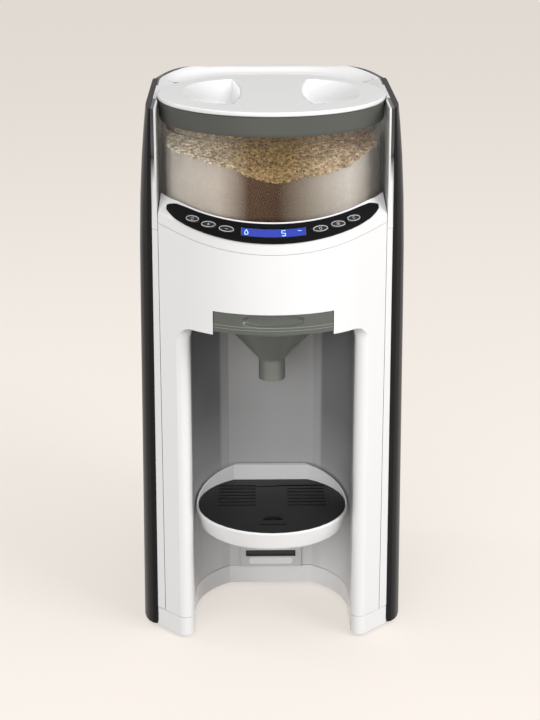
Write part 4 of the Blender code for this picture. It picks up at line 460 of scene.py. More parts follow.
def spun(profile, steps=ROUND, closed=False, centre=POCKET):
    """Spin a profile of (radius, height) round an upright axis."""
    bm = bmesh.new()
    rings = []
    for radius, height in profile:
        if radius < WELD:
            rings.append([bm.verts.new((centre.x, centre.y, height))])
            continue
        rings.append([bm.verts.new((centre.x + x, centre.y + y, height))
                      for x, y in circle(radius, steps)])
    last = len(rings) if closed else len(rings) - 1
    for i in range(last):
        low, high = rings[i], rings[(i + 1) % len(rings)]
        for k in range(steps):
            n = (k + 1) % steps
            if len(low) == 1:
                bm.faces.new((low[0], high[k], high[n]))
            elif len(high) == 1:
                bm.faces.new((low[k], low[n], high[0]))
            else:
                bm.faces.new((low[k], low[n], high[n], high[k]))
    return bm


def upright(node):
    """A node's reach to the side, its lowest and its highest level."""
    low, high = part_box(node)
    return high[0], low[2], high[2]


HOPPER_FOOT_OUT, HOPPER_LOW, HOPPER_TOP = upright("hopper")
HOPPER_WALL_OUT = 0.0766
HOPPER_WALL_IN = 0.0742
HOPPER_FOOT_TOP = HOPPER_LOW + 0.0105
HOPPER_FLOOR_TOP = HOPPER_LOW + 0.0025
DOG_HOLE = 0.0057
OUTLET = Vector((0.0, -0.06, 0.0))
OUTLET_RADIUS = 0.0072
HOLE_LOW, HOLE_TOP = HOPPER_LOW - 0.002, HOPPER_FLOOR_TOP + 0.002

wall = softened([(HOPPER_WALL_IN, HOPPER_TOP), (HOPPER_WALL_OUT, HOPPER_TOP),
                 (HOPPER_WALL_OUT, HOPPER_FOOT_TOP), (HOPPER_FOOT_OUT, HOPPER_FOOT_TOP),
                 (HOPPER_FOOT_OUT, HOPPER_LOW), (DOG_HOLE, HOPPER_LOW),
                 (DOG_HOLE, HOPPER_FLOOR_TOP), (HOPPER_WALL_IN, HOPPER_FLOOR_TOP)], 0.0007, True)
hopper_wall = made(spun(wall, closed=True), "hopper_wall", FINISHES["clear_plastic"])
hole = made(spun([(0, HOLE_LOW), (OUTLET_RADIUS, HOLE_LOW), (OUTLET_RADIUS, HOLE_TOP),
                  (0, HOLE_TOP)], 48, centre=OUTLET), "hole")
stand_for(settle(even(carve(hopper_wall, hole))), "hopper")

RING_OUT, RING_LOW, RING_TOP = upright("lid_ring")
RING_IN = 0.0708
RING_SEAT = HOPPER_TOP + 0.0003
LIP_TOP, LIP_FOOT = RING_SEAT - 0.0002, RING_SEAT - 0.0008
LIP_OUT = HOPPER_WALL_OUT + 0.0010
LIP_IN = HOPPER_WALL_OUT + 0.0003
SKIRT_OUT = HOPPER_WALL_IN - 0.0010
SKIRT_TOP = RING_SEAT - 0.0001
band = softened([(RING_IN, RING_TOP), (RING_OUT, RING_TOP), (RING_OUT, RING_SEAT + 0.0006),
                 (LIP_OUT, LIP_TOP), (LIP_OUT, LIP_FOOT), (LIP_IN, LIP_FOOT), (LIP_IN, RING_SEAT),
                 (RING_IN, RING_SEAT)], 0.0005, True)
grey_ring = made(spun(band, closed=True), "grey_ring", FINISHES["ring_grey"])
stand_for(settle(even(grey_ring)), "lid_ring")
skirt = softened([(RING_IN, SKIRT_TOP), (SKIRT_OUT, SKIRT_TOP), (SKIRT_OUT, RING_LOW),
                  (RING_IN, RING_LOW)], 0.0004, True)
clear_skirt = made(spun(skirt, closed=True), "ring_skirt", CLEAR_SEAL)
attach(settle(even(clear_skirt)), BODY_OF["lid_ring"])
print("hopper wall and ring spun with", ROUND, "steps")

# %% [markdown]
# ## The lid with its two finger hollows
# Each hollow has the outline of a leaf. Its wall falls steeply beside the grip bar, and its
# floor climbs to nothing at the outer curve. The hollow is drawn as a sheet of heights over the
# leaf, closed above, and cut out of the turned lid.

# %% Hopper lid
LID_OUT, LID_LOW, LID_TOP = upright("hopper_lid")
LEAF_MIDDLE_Y = POCKET.y + 0.0047
LEAF_HALF = 0.0504
LEAF_DEPTH = 0.0122
LEAF_FOOT_X = 0.0275
LEAF_STEPS = (64, 36)
WALL_STEPS = 8


def leaf_edges(t):
    """Inner edge, foot of the wall and outer edge of the leaf along its length, t from -1 to 1."""
    return (LEAF_FOOT_X - 0.0061 * (1 - t * t) - 0.0004, LEAF_FOOT_X,
            LEAF_FOOT_X + 0.0338 * max(0.0, 1 - abs(t) ** 2.8) ** 0.58 + 0.0004)


def rise(share):
    """A soft step from 0 to 1."""
    share = max(0.0, min(1.0, share))
    return share * share * (3 - 2 * share)


def leaf_cutter(side):
    """A closed solid with the hollow's shape below the lid's plane."""
    bm = bmesh.new()
    along_steps, across_steps = LEAF_STEPS
    sheets = []
    for level in (0, 1):
        sheet = []
        for i in range(along_steps + 1):
            t = -math.cos(math.pi * i / along_steps) * 0.9995
            inner, foot, outer = leaf_edges(t)
            deepest = LEAF_DEPTH * (1 - abs(t) ** 2.4) ** 0.75
            row = []
            for k in range(across_steps + 1):
                edge, share = inner, k / WALL_STEPS
                if k > WALL_STEPS:
                    edge, share = outer, (across_steps - k) / (across_steps - WALL_STEPS)
                x = edge + (foot - edge) * share
                depth = deepest * (share * 0.75 + rise(share) * 0.25) - 0.0001
                height = LID_TOP + (0.002 if level else -depth)
                row.append(bm.verts.new((side * x, LEAF_MIDDLE_Y + LEAF_HALF * t, height)))
            sheet.append(row)
        sheets.append(sheet)
    low, high = sheets
    for i in range(along_steps):
        for k in range(across_steps):
            for sheet in sheets:
                bm.faces.new((sheet[i][k], sheet[i + 1][k], sheet[i + 1][k + 1], sheet[i][k + 1]))
        for k in (0, across_steps):
            bm.faces.new((low[i][k], low[i + 1][k], high[i + 1][k], high[i][k]))
    for k in range(across_steps):
        for i in (0, along_steps):
            bm.faces.new((low[i][k], low[i][k + 1], high[i][k + 1], high[i][k]))
    return made(bm, "leaf")


PLUG_RADIUS = RING_IN - 0.0005
PLATE_FOOT = LID_TOP - 0.0030
LID_GRID = 0.004
plate = softened([(0.0, LID_TOP), (LID_OUT, LID_TOP), (LID_OUT, PLATE_FOOT), (PLUG_RADIUS, PLATE_FOOT),
                  (PLUG_RADIUS, LID_LOW), (0.0, LID_LOW)], 0.0011, False)
white_lid = made(spun(plate), "white_lid", FINISHES["white_plastic"])
carve(white_lid, leaf_cutter(1), leaf_cutter(-1))
bm = opened(white_lid.data)
for across in (SIDEWAYS, BACKWARDS):
    for k in range(-20, 21):
        flat = [f for f in bm.faces if f.normal.z > 0.999
                and f.calc_center_median().z > LID_TOP - 1e-5]
        sliced(bm, flat, POCKET + across * LID_GRID * k, across)
white_lid.data = as_mesh(bm, "white_lid", outward=False)
white_lid.data.materials.append(FINISHES["white_plastic"])
stand_for(settle(even(white_lid), 40), "hopper_lid")
print("white lid:", len(white_lid.data.polygons), "faces")

# %% [markdown]
# ## The dished top
# In the solids the rear dish has an upright step. The real top swells up to its rim in one soft
# curve. So the top of the two solids is flattened to one plane, its edge gets a few close
# loops, the rest a fine grid, and every corner then takes its height from one function.

# %% Soft dish
REAR_Y, BODY_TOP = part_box("tank_lid")[1][1:]
TOP_PLANE = BODY_TOP - 1e-5
SIDE_X = 0.086
DISH_FLOOR = BODY_TOP - 0.004
CORNER_CENTRE = (0.024, 0.0449)
CORNER_REACH = (0.062, 0.075)
EDGE_ROUND = 0.0026
RIM_WIDTH = 0.0045
GRID = 0.0024
DISH_SLOPE = 0.013
FRONT_FADE = 0.012
REAR_SAG = 0.0008
CORNER_LIFT = 0.0014
HINGE_ZONE_Y = 0.1115
HINGE_ROOF = 0.3840


def inward(x, y):
    """Distance from the outer edge of the top, inwards."""
    x = abs(x)
    side = SIDE_X - x
    if y <= CORNER_CENTRE[1]:
        return side
    if x <= CORNER_CENTRE[0]:
        return REAR_Y - y
    u = (x - CORNER_CENTRE[0]) / CORNER_REACH[0]
    v = (y - CORNER_CENTRE[1]) / CORNER_REACH[1]
    reach = math.hypot(u, v)
    slope = math.hypot(u / CORNER_REACH[0], v / CORNER_REACH[1]) / max(reach, 1e-6)
    return (1 - reach) / max(slope, 1e-6)


def top_height(x, y):
    """Height of the dished top: rim, slope, floor, rounded edge, and a roof over the hinge slots."""
    d = max(0.0, inward(x, y))
    height = BODY_TOP - (BODY_TOP - DISH_FLOOR) * rise((d - RIM_WIDTH) / DISH_SLOPE)
    if y < POCKET.y + FRONT_FADE:
        height = BODY_TOP + (height - BODY_TOP) * rise((y - POCKET.y) / FRONT_FADE)
    height -= REAR_SAG * max(0.0, 1 - (x / 0.056) ** 2) * rise((y - 0.096) / 0.020)
    corner = rise((abs(x) - 0.044) / 0.014) * rise((y - 0.066) / 0.030)
    height += CORNER_LIFT * corner * rise(1 - d / 0.022)
    if d < EDGE_ROUND:
        height -= EDGE_ROUND - math.sqrt(EDGE_ROUND ** 2 - (EDGE_ROUND - d) ** 2)
    if y > HINGE_ZONE_Y:
        height = max(height, HINGE_ROOF - 0.003 * rise((abs(x) - 0.034) / 0.008))
    return height


def slice_top(bm, place, across, reach=None):
    """Cut the flat top along a plane, everywhere or only near the outer edge."""
    near = []
    for f in bm.faces:
        if f.normal.z < 0.9 or f.verts[0].co.z < TOP_PLANE:
            continue
        sides = [(v.co - place).dot(across) for v in f.verts]
        if min(sides) > -1e-6 or max(sides) < 1e-6:
            continue
        middle = f.calc_center_median()
        if reach is None or (inward(middle.x, middle.y) < RIM_WIDTH
                             and (middle - place).length < reach):
            near.append(f)
    sliced(bm, near, place, across)


def edge_slices():
    """Planes that follow the outer edge at a few small distances, for the rounded rim."""
    for d in (0.0003, 0.0008, 0.0016, 0.0026):
        yield BACKWARDS * (REAR_Y - d), BACKWARDS, 1.0
        for side in (-1, 1):
            yield SIDEWAYS * side * (SIDE_X - d), SIDEWAYS, 1.0
            for step in range(1, 18):
                a = math.radians(5 * step)
                out = Vector((math.cos(a) / CORNER_REACH[0], math.sin(a) / CORNER_REACH[1], 0))
                out.normalize()
                edge = Vector((CORNER_CENTRE[0] + CORNER_REACH[0] * math.cos(a),
                               CORNER_CENTRE[1] + CORNER_REACH[1] * math.sin(a), 0)) - out * d
                yield Vector((side * edge.x, edge.y, 0)), Vector((side * out.x, out.y, 0)), 0.012


def soft_top(node, rounded):
    """Copy a node, flatten its top, cut it finely and lay it on the height function."""
    bm = opened(frame["nodes"][node].data)
    bmesh.ops.remove_doubles(bm, verts=bm.verts, dist=WELD)
    tops = [(f, f.calc_center_median()) for f in bm.faces if f.normal.z > 0.5]
    raised = {v for f, middle in tops if middle.z > BAND_LOW
              and (middle.y < HINGE_ZONE_Y or middle.z > BODY_TOP - 0.0004)
              for v in f.verts if v.co.z > BAND_LOW}
    for v in raised:
        v.co.z = BODY_TOP
    bmesh.ops.remove_doubles(bm, verts=bm.verts, dist=WELD)
    bmesh.ops.dissolve_degenerate(bm, edges=bm.edges, dist=WELD)
    bmesh.ops.dissolve_limit(bm, angle_limit=FLAT_ANGLE, verts=bm.verts, edges=bm.edges)
    for across, span in ((SIDEWAYS, SIDE_X), (BACKWARDS, REAR_Y)):
        for k in range(-int(span / GRID), int(span / GRID) + 1):
            slice_top(bm, across * (k * GRID + GRID / 3), across)
    if rounded:
        for place, across, reach in edge_slices():
            place.z = BODY_TOP
            slice_top(bm, place, across, reach)
    for v in bm.verts:
        if v.co.z > TOP_PLANE:
            v.co.z = top_height(v.co.x, v.co.y)
    bmesh.ops.triangulate(bm, faces=[f for f in bm.faces if len(f.verts) > 4])
    return bm


def rim_depth(v):
    """How far a corner lies inside the black edge round the rear corners, in millimetres."""
    if v.co.y < 0.02 or v.co.z < TANK_RIM:
        return -5.0
    return (0.0052 * rise((abs(v.co.x) - 0.050) / 0.020) - inward(v.co.x, v.co.y)) * 1000


def rim_paint(tree):
    """White top with the casing's black edge round the rear corners."""
    outer = between(tree, reckon(tree, "ABSOLUTE", place_on(tree, "X")), 0.0795, 0.0799)
    side = reckon(tree, "MULTIPLY", outer, along(tree, "Z", 0.334, 0.352))
    strip = reckon(tree, "MULTIPLY", side, along(tree, "Y", -0.030, -0.034))
    dark = reckon(tree, "MAXIMUM", strip, between(tree, painted_mask(tree, "rim"), -0.1, 0.1))
    return mixed(tree, dark, WHITE, (0.020, 0.020, 0.021, 1))


TOP_WHITE = finish("white_top", WHITE, 0.2, drift=0.012, coat=0.25, paint=rim_paint)
BAND_LOW = DISH_FLOOR - 0.0005
TANK_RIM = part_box("water_tank")[1][2] - 0.0002
for node, rounded in (("tank_lid", True), ("hopper_surround", False)):
    top = made(soft_top(node, rounded), node + "_skin", TOP_WHITE)
    rim = top.data.attributes.new("rim", "FLOAT", "POINT")
    rim.data.foreach_set("value", [rim_depth(v) for v in top.data.vertices])
    top.data.set_sharp_from_angle(angle=math.radians(38))
    stand_for(top, node)
    print(node, "top:", len(top.data.polygons), "faces")

# %% [markdown]
# ## Powder behind the clear wall
# Milk powder fills the hopper round the stirrer. It is one heap: a skin against the wall, a
# free surface that climbs to the back, and a hollow below for the stirrer and the wheel.
# Crumbs lie on the surface. They repeat, so Geometry Nodes scatters them.

# %% Powder heap
HEAP_RADIUS = HOPPER_WALL_IN - 0.0003
HEAP_LOW = HOPPER_FLOOR_TOP + 0.0003
WALL_LEVELS = (HEAP_LOW, 0.318, 0.330)
TOP_RINGS = 34
HOLLOW_RADIUS = 0.0665
HOLLOW_TOP = 0.3368
HEAP_MARKS = ((-180, 0.3560), (-150, 0.3545), (-120, 0.3505), (-90, 0.3406), (-66, 0.3440),
              (-50, 0.3475), (-30, 0.3540), (0, 0.3575), (60, 0.3600), (120, 0.3600), (180, 0.3560))


def heap_edge(angle):
    """Height of the powder at the wall, by direction; -90 degrees is the front."""
    for (a0, z0), (a1, z1) in zip(HEAP_MARKS, HEAP_MARKS[1:]):
        if angle <= a1:
            return z0 + (z1 - z0) * rise((angle - a0) / (a1 - a0))
    return HEAP_MARKS[-1][1]


def heap_height(x, y):
    """Height of the free surface, with small lumps."""
    radius = math.hypot(x, y)
    edge = heap_edge(math.degrees(math.atan2(y, x)))
    middle = 0.3535 + 0.02 * y
    height = middle + (edge - middle) * rise(radius / HEAP_RADIUS) ** 1.2
    lumps = noise.fractal(Vector((x, y, 0.3)) * 95, 0.7, 2.0, 4)
    return height + 0.0011 * lumps


def powder_heap():
    """The heap's outer skin, its top and the hollow round the stirrer."""
    bm = bmesh.new()
    steps = 180
    rings = []

    def ring(radius, height):
        rings.append([bm.verts.new((POCKET.x + x, POCKET.y + y,
                                    height(x, y) if callable(height) else height))
                      for x, y in circle(radius, steps)])

    ring(HOLLOW_RADIUS, HEAP_LOW)
    for height in WALL_LEVELS:
        ring(HEAP_RADIUS, height)
    for k in range(TOP_RINGS):
        ring(HEAP_RADIUS * max(1 - (k / TOP_RINGS) ** 0.9, 0.02), heap_height)
    peak = bm.verts.new((POCKET.x, POCKET.y, heap_height(0.0001, 0.0)))
    inner = len(rings)
    ring(HOLLOW_RADIUS, HOLLOW_TOP)
    cap = bm.verts.new((POCKET.x, POCKET.y, HOLLOW_TOP))
    for k in range(steps):
        n = (k + 1) % steps
        for i in range(inner - 1):
            bm.faces.new((rings[i][k], rings[i][n], rings[i + 1][n], rings[i + 1][k]))
        bm.faces.new((rings[inner - 1][k], rings[inner - 1][n], peak))
        bm.faces.new((rings[inner][k], rings[inner][n], rings[0][n], rings[0][k]))
        bm.faces.new((rings[inner][n], rings[inner][k], cap))
    return bm


def powder_material(name, marks, grain_marks, bump_strength, glow):
    """Milk powder with grain, its colour changing across the hopper, and a painted glow in place of
    light that the ring and lid keep out.
    """
    material, tree = blank(name)
    tone = stops(tree, along(tree, "X", -0.075, 0.075), marks)
    grain = mottled(tree, 330.0, 3.0, 0.7)
    tint = mixed(tree, 1.0, tone, stops(tree, grain, grain_marks), way="MULTIPLY")
    bump = add_node(tree, "ShaderNodeBump", {"Strength": bump_strength, "Distance": 0.0006,
                                             "Height": grain})
    shader = add_node(tree, "ShaderNodeBsdfPrincipled",
                      {"Base Color": tint, "Roughness": 0.95, "Normal": bump.outputs[0],
                       "Specular IOR Level": 0.1, "Emission Color": tint, "Emission Strength": glow})
    add_node(tree, "ShaderNodeOutputMaterial", {"Surface": shader.outputs[0]})
    return material


# The wall skin is brown in the middle and paler to the sides; its pale band on the right is a painted
# highlight, and its last number is a painted glow.
POWDER_SKIN = powder_material(
    "powder_at_wall",
    [(0.0, colour(178, 171, 163)), (0.26, colour(156, 147, 137)), (0.39, colour(66, 47, 32)),
     (0.52, colour(54, 37, 24)), (0.64, colour(104, 95, 84)), (0.84, colour(160, 154, 147)),
     (0.97, colour(128, 120, 112))],
    [(0.35, (0.92, 0.92, 0.92, 1)), (0.65, (1.0, 1.0, 1.0, 1))], 0.15, 0.16)
# The crumbs' last number is a stronger painted glow.
POWDER_TOP = powder_material(
    "powder_crumbs",
    [(0.0, colour(190, 182, 170)), (0.24, colour(172, 160, 142)), (0.40, colour(136, 114, 80)),
     (0.56, colour(124, 102, 66)), (0.74, colour(160, 142, 118)), (1.0, colour(140, 124, 108))],
    [(0.36, (0.34, 0.30, 0.22, 1)), (0.50, (0.86, 0.85, 0.82, 1)), (0.64, (1.5, 1.5, 1.46, 1))],
    0.5, 0.30)
powder = made(powder_heap(), "formula_powder", POWDER_SKIN)
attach(powder, "hopper_body")
print("powder:", len(powder.data.polygons), "faces")

# %% [markdown]
# ## Crumbs on the heap
# A small node tree scatters lumps of a few faces over a disc, each with its own turn and size.
# The tree ends as plain mesh, and that mesh moves with the hopper like the powder.

# %% Crumb scatter
CRUMBS_PER_M2 = 540000.0
CRUMB_SIZES = (0.0006, 0.0012)
CRUMB_LIFT = 0.0002
FULL_TURNS = (6.28, 6.28, 6.28)


def crumb_tree():
    """Geometry Nodes: points on the surface, a lump on each."""
    tree = bpy.data.node_groups.new("crumb_scatter", "GeometryNodeTree")
    add_sockets(tree, "INPUT", "Geometry", "Geometry")
    add_sockets(tree, "INPUT", "Float", "Density", "Smallest", "Largest")
    add_sockets(tree, "INPUT", "Int", "Seed")
    add_sockets(tree, "INPUT", "Material", "Finish")
    add_sockets(tree, "OUTPUT", "Geometry", "Geometry")
    given = add_node(tree, "NodeGroupInput").outputs
    spread = add_node(tree, "GeometryNodeDistributePointsOnFaces",
                      {"Mesh": given["Geometry"], "Density": given["Density"], "Seed": given["Seed"]})
    lump = add_node(tree, "GeometryNodeMeshIcoSphere", {"Radius": 1.0, "Subdivisions": 1})
    size = add_node(tree, "FunctionNodeRandomValue", {2: given["Smallest"], 3: given["Largest"]},
                    data_type="FLOAT")
    turn = add_node(tree, "FunctionNodeRandomValue", {1: FULL_TURNS}, data_type="FLOAT_VECTOR")
    placed = add_node(tree, "GeometryNodeInstanceOnPoints",
                      {"Points": spread.outputs["Points"], "Instance": lump.outputs["Mesh"],
                       "Rotation": turn.outputs[0], "Scale": size.outputs[1]})
    real = add_node(tree, "GeometryNodeRealizeInstances", {"Geometry": placed.outputs["Instances"]})
    painted = add_node(tree, "GeometryNodeSetMaterial", {"Geometry": real.outputs["Geometry"],
                                                         "Material": given["Finish"]})
    add_node(tree, "NodeGroupOutput", {"Geometry": painted.outputs["Geometry"]})
    return tree


bm = opened(powder.data)
bmesh.ops.delete(bm, geom=[f for f in bm.faces if f.normal.z < 0.3
                           or (f.calc_center_median() - POCKET).xy.length > HEAP_RADIUS - 0.0012
                           or f.calc_center_median().z < HOLLOW_TOP + 0.001], context="FACES")
bmesh.ops.transform(bm, matrix=Matrix.Translation(UP * CRUMB_LIFT), verts=bm.verts)
crumbs = made(bm, "powder_crumbs", POWDER_TOP, outward=False)
scatter = crumbs.modifiers.new("scatter", "NODES")
scatter.node_group = crumb_tree()
amounts = {"Density": CRUMBS_PER_M2, "Smallest": CRUMB_SIZES[0], "Largest": CRUMB_SIZES[1],
           "Seed": 4, "Finish": POWDER_TOP}
for socket in scatter.node_group.interface.items_tree:
    if socket.in_out == "INPUT" and socket.name in amounts:
        scatter[socket.identifier] = amounts[socket.name]
settle(crumbs)
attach(crumbs, "hopper_body")
print("crumbs:", len(crumbs.data.polygons), "faces")

# %% [markdown]
# ## Marks on the console
# Every button has a grey outline and a small sign, and the display shows a digit and a bottle.
# They are thin plates laid on the solids: each corner is dropped onto the surface below it.
# One attribute tells the material which faces are print.

# %% Print helpers
SLOPE = math.radians(45.7)
UPHILL = Vector((0.0, math.cos(SLOPE), math.sin(SLOPE)))
PRINT_LIFT = 0.00012


def print_paint(base, ink):
    """Paint that changes from the base colour to the ink on printed faces."""
    return lambda tree: mixed(tree, painted_mask(tree, "print"), base, ink)


def bar(start, stop, width):
    """A flat bar between two points of a drawing."""
    start, stop = Vector(start), Vector(stop)
    side = (stop - start).orthogonal().normalized() * width / 2
    return [tuple(p) for p in (start + side, stop + side, stop - side, start - side)]


def dash(half, height, width):
    """A level bar, with its middle on the drawing's upright axis."""
    return bar((-half, height), (half, height), width)


def chain(points, width):
    """Bars from point to point."""
    return [bar(p, q, width) for p, q in zip(points, points[1:])]


def hoop(radii, width, height=0.0, steps=14, sweep=2 * math.pi, start=0.0):
    """Bars round a circle or an oval, or a part of it."""
    angles = (start + sweep * k / steps for k in range(steps + 1))
    return chain([(radii[0] * math.cos(a), height + radii[1] * math.sin(a)) for a in angles], width)


def print_on(piece, normal, sideways, groups):
    """Drop flat shapes, each group round its middle, onto a piece and mark them as print."""
    bm = opened(piece.data)
    solid = BVHTree.FromBMesh(bm)
    bare = len(bm.faces)
    upward = normal.cross(sideways).normalized()
    for middle, shape in ((middle, shape) for middle, shapes in groups for shape in shapes):
        starts = [middle + sideways * u + upward * v + normal * 0.01 for u, v in shape]
        hits = [solid.ray_cast(start, -normal)[0] for start in starts]
        if all(hits):
            bm.faces.new([bm.verts.new(hit + normal * PRINT_LIFT) for hit in hits])
    bm.normal_update()
    for f in list(bm.faces)[bare:]:
        if f.normal.dot(normal) < 0:
            f.normal_flip()
    bm.to_mesh(piece.data)
    bm.free()
    layer = piece.data.attributes.new("print", "FLOAT", "CORNER")
    layer.data.foreach_set("value", [float(face.index >= bare) for face in piece.data.polygons
                                     for _ in range(face.loop_total)])
    return piece


# %% Display
DISPLAY_LIT = finish("display_lit", (0.02, 0.03, 0.3, 1), 0.25, specular=0.2, glow=0.3,
                     paint=print_paint((0.030, 0.048, 0.34, 1), (0.5, 0.8, 0.95, 1)))
window_low, window_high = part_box("display_window")
window_front = Vector((0.0, -math.sin(SLOPE), math.cos(SLOPE)))
window_tree = BVHTree.FromBMesh(welded_copy("display_window"))


def window_middle(x):
    """Middle of the display's face at a width, found by looking down on it."""
    centre = Vector((x, 0.5 * (window_low[1] + window_high[1]), 0.5 * (window_low[2] + window_high[2])))
    found = []
    for k in range(-120, 121):
        place, facing = window_tree.ray_cast(centre + UPHILL * k * 0.0001 + window_front * 0.02,
                                             -window_front)[:2]
        if place and facing.dot(window_front) > 0.8:
            found.append(place)
    return (found[0] + found[-1]) / 2


DIGIT = (0.0012, 0.00098)
DIGIT_X, BOTTLE_X, DASH_X = 0.0066, -0.0180, 0.0172
STROKE = 0.0005
FIVE = ((1, 2), (-1, 2), (-1, 0), (1, 0), (1, -2), (-1, -2))
BOTTLE = ((-10, -17), (10, -17), (10, 3), (4, 8), (4, 17), (-4, 17), (-4, 8), (-10, 3), (-10, -17))
digit = chain([(DIGIT[0] * u, DIGIT[1] * v) for u, v in FIVE], STROKE)
bottle = chain([(u / 10000, v / 10000) for u, v in BOTTLE], STROKE)
signs = [(DIGIT_X, digit), (BOTTLE_X, bottle), (DASH_X, [dash(0.0012, 0.0010, 0.0004)])]
display = dressed("display_window", 0.0001, material=DISPLAY_LIT, done=False)
print_on(display, window_front, SIDEWAYS, [(window_middle(x), shapes) for x, shapes in signs])
stand_for(display, "display_window")
print("display signs:", len(signs))

# %% Buttons
BUTTON_DARK = (0.018, 0.018, 0.02, 1)
BUTTON_INK = finish("button_print", BUTTON_DARK, 0.42, bump=0.05, specular=0.2,
                    paint=print_paint(BUTTON_DARK, colour(196, 196, 198)))
OUTLINE = (0.0051, 0.0020)
THIN = 0.0003
SIGNS = {
    1: hoop((0.0010, 0.0010), THIN, sweep=1.6 * math.pi, start=0.7 * math.pi)
       + [bar((0, 0.0002), (0, 0.0014), THIN)],
    2: [dash(0.0010, 0, 0.00035), bar((0, -0.0010), (0, 0.0010), 0.00035)],
    3: [dash(0.0010, 0, 0.00035)],
    4: hoop((0.0009, 0.0009), THIN) + [bar((0.0006, 0.0006), (0.0014, 0.0012), THIN)],
    5: [dash(0.0012, v, 0.00028) for v in (-0.0007, 0.0, 0.0007)],
    6: hoop((0.0009, 0.0009), THIN, height=0.0002, sweep=math.pi) + [dash(0.0009, -0.0004, THIN)],
}
for number, sign in SIGNS.items():
    node = f"button_{number}"
    cap = dressed(node, 0.0004, segments=3, material=BUTTON_INK, done=False)
    joint = next(j for j in record["behaviour"]["joints"] if j["child"] == f"key_{number}")
    outward = -Vector(joint["axis"]).normalized()
    low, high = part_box(node)
    middle = (Vector(low) + Vector(high)) / 2
    spread = [v.co - middle for v in cap.data.vertices]
    longest = max(spread, key=lambda offset: offset.x - offset.dot(outward))
    sideways = (longest - outward * longest.dot(outward)).normalized()
    shapes = hoop(OUTLINE, STROKE, steps=28) + sign
    stand_for(print_on(cap, outward, sideways, [(middle, shapes)]), node)
print("six buttons with outlines and signs")

# %% [markdown]
# ## Level marks on the tank
# The smoked tank has a column of short marks at its back, so that it can be filled by eye.

# %% Tank
SMOKE_DARK = (0.045, 0.047, 0.05, 1)
TANK_SMOKE = finish("tank_smoke", SMOKE_DARK, 0.14, coat=0.3, clear=0.35, ior=1.45,
                    paint=print_paint(SMOKE_DARK, colour(176, 176, 176)))
MARK_X = -0.030
MARK_STEP = 0.011
LONG_MARK, SHORT_MARK, MARK_WIDTH = 0.0085, 0.0050, 0.0008
tank = dressed("water_tank", 0.0004, material=TANK_SMOKE, done=False)
tank_low, tank_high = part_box("water_tank")
level_middle = Vector((MARK_X, tank_high[1], 0.5 * (tank_low[2] + tank_high[2])))
levels = [bar((0.0, v * MARK_STEP), (SHORT_MARK if v % 2 else LONG_MARK, v * MARK_STEP), MARK_WIDTH)
          for v in range(-5, 6)]
print_on(tank, BACKWARDS, -SIDEWAYS, [(level_middle, levels)])
stand_for(tank, "water_tank")
print("level marks:", len(levels))

# %% [markdown]
# ## The funnel
# It is smoked plastic with a shallow finger recess in its band and two fine painted highlights below.

# %% Funnel
def smoke_paint(tree):
    """Smoke grey with two fine painted highlights along the band and a paler foot."""
    dark, pale, low = colour(112, 116, 110), colour(176, 178, 172), colour(140, 144, 138)
    return stops(tree, along(tree, "Z", 0.2375, 0.2475),
                 [(0.0, low), (0.2, dark), (0.57, dark), (0.60, pale), (0.63, dark), (0.77, dark),
                  (0.80, pale), (0.84, dark)])


# The smoke finish carries the band's two painted highlights.
SMOKE = finish("smoked_funnel", colour(104, 107, 101), 0.18, patches=0.05, bump=0.0, clear=0.32,
               ior=1.45, paint=smoke_paint)
funnel_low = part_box("funnel")[0]
smoked = dressed("funnel", 0.0003, material=SMOKE, done=False)
RECESS = (0.0215, 0.0040)
RECESS_DEPTH = 0.0019
RECESS_Z = 0.2498
BAND_BACK = funnel_low[1] + 0.004


def band_front(bm):
    """Faces on the front of the funnel's band."""
    return [f for f in bm.faces if f.normal.y < -0.6 and f.calc_center_median().y < BAND_BACK]


bm = opened(smoked.data)
cuts = ([(SIDEWAYS, x * 0.0012) for x in range(-19, 20)]
        + [(UP, RECESS_Z + z * 0.0005) for z in range(-9, 9)])
for across, place in cuts:
    sliced(bm, band_front(bm), across * place, across)
for v in {v for f in band_front(bm) for v in f.verts}:
    reach = (v.co.x / RECESS[0]) ** 4 + ((v.co.z - RECESS_Z) / RECESS[1]) ** 2
    v.co.y += RECESS_DEPTH * rise((1 - reach) * 2.2)

CONE_CUT = 0.2376
CONE_WALL = 0.0013
SPOUT_RADIUS = 0.0095
CONE_LINE = [(0.0296, CONE_CUT + 0.0006), (0.0300, CONE_CUT - 0.0010), (0.0340, 0.2292),
             (SPOUT_RADIUS, 0.2022), (SPOUT_RADIUS, 0.1873)]
spout = [v.co.y for v in frame["nodes"]["funnel"].data.vertices if v.co.z < funnel_low[2] + 0.004]
SPOUT = Vector((0.0, 0.5 * (min(spout) + max(spout)), 0.0))
bmesh.ops.bisect_plane(bm, geom=bm.verts[:] + bm.edges[:] + bm.faces[:], plane_co=UP * CONE_CUT,
                       plane_no=UP, clear_inner=True)
bmesh.ops.holes_fill(bm, edges=[e for e in bm.edges if e.is_boundary])
band_mesh = as_mesh(bm, "funnel_band")
cone = softened(CONE_LINE + [(r - CONE_WALL, z) for r, z in reversed(CONE_LINE)], 0.0016, True)
bm = spun(cone, steps=96, closed=True, centre=SPOUT)
bmesh.ops.recalc_face_normals(bm, faces=bm.faces)
bm.from_mesh(band_mesh)
smoked.data = as_mesh(bm, "funnel_skin", outward=False)
smoked.data.materials.append(SMOKE)
stand_for(settle(even(smoked), 40), "funnel")
print("spout axis y:", round(SPOUT.y, 4), "and", len(smoked.data.polygons), "faces")

# %% [markdown]
# ## The lip on the rail
# Below the lowest slot of the rail lies a flush bar with round ends.

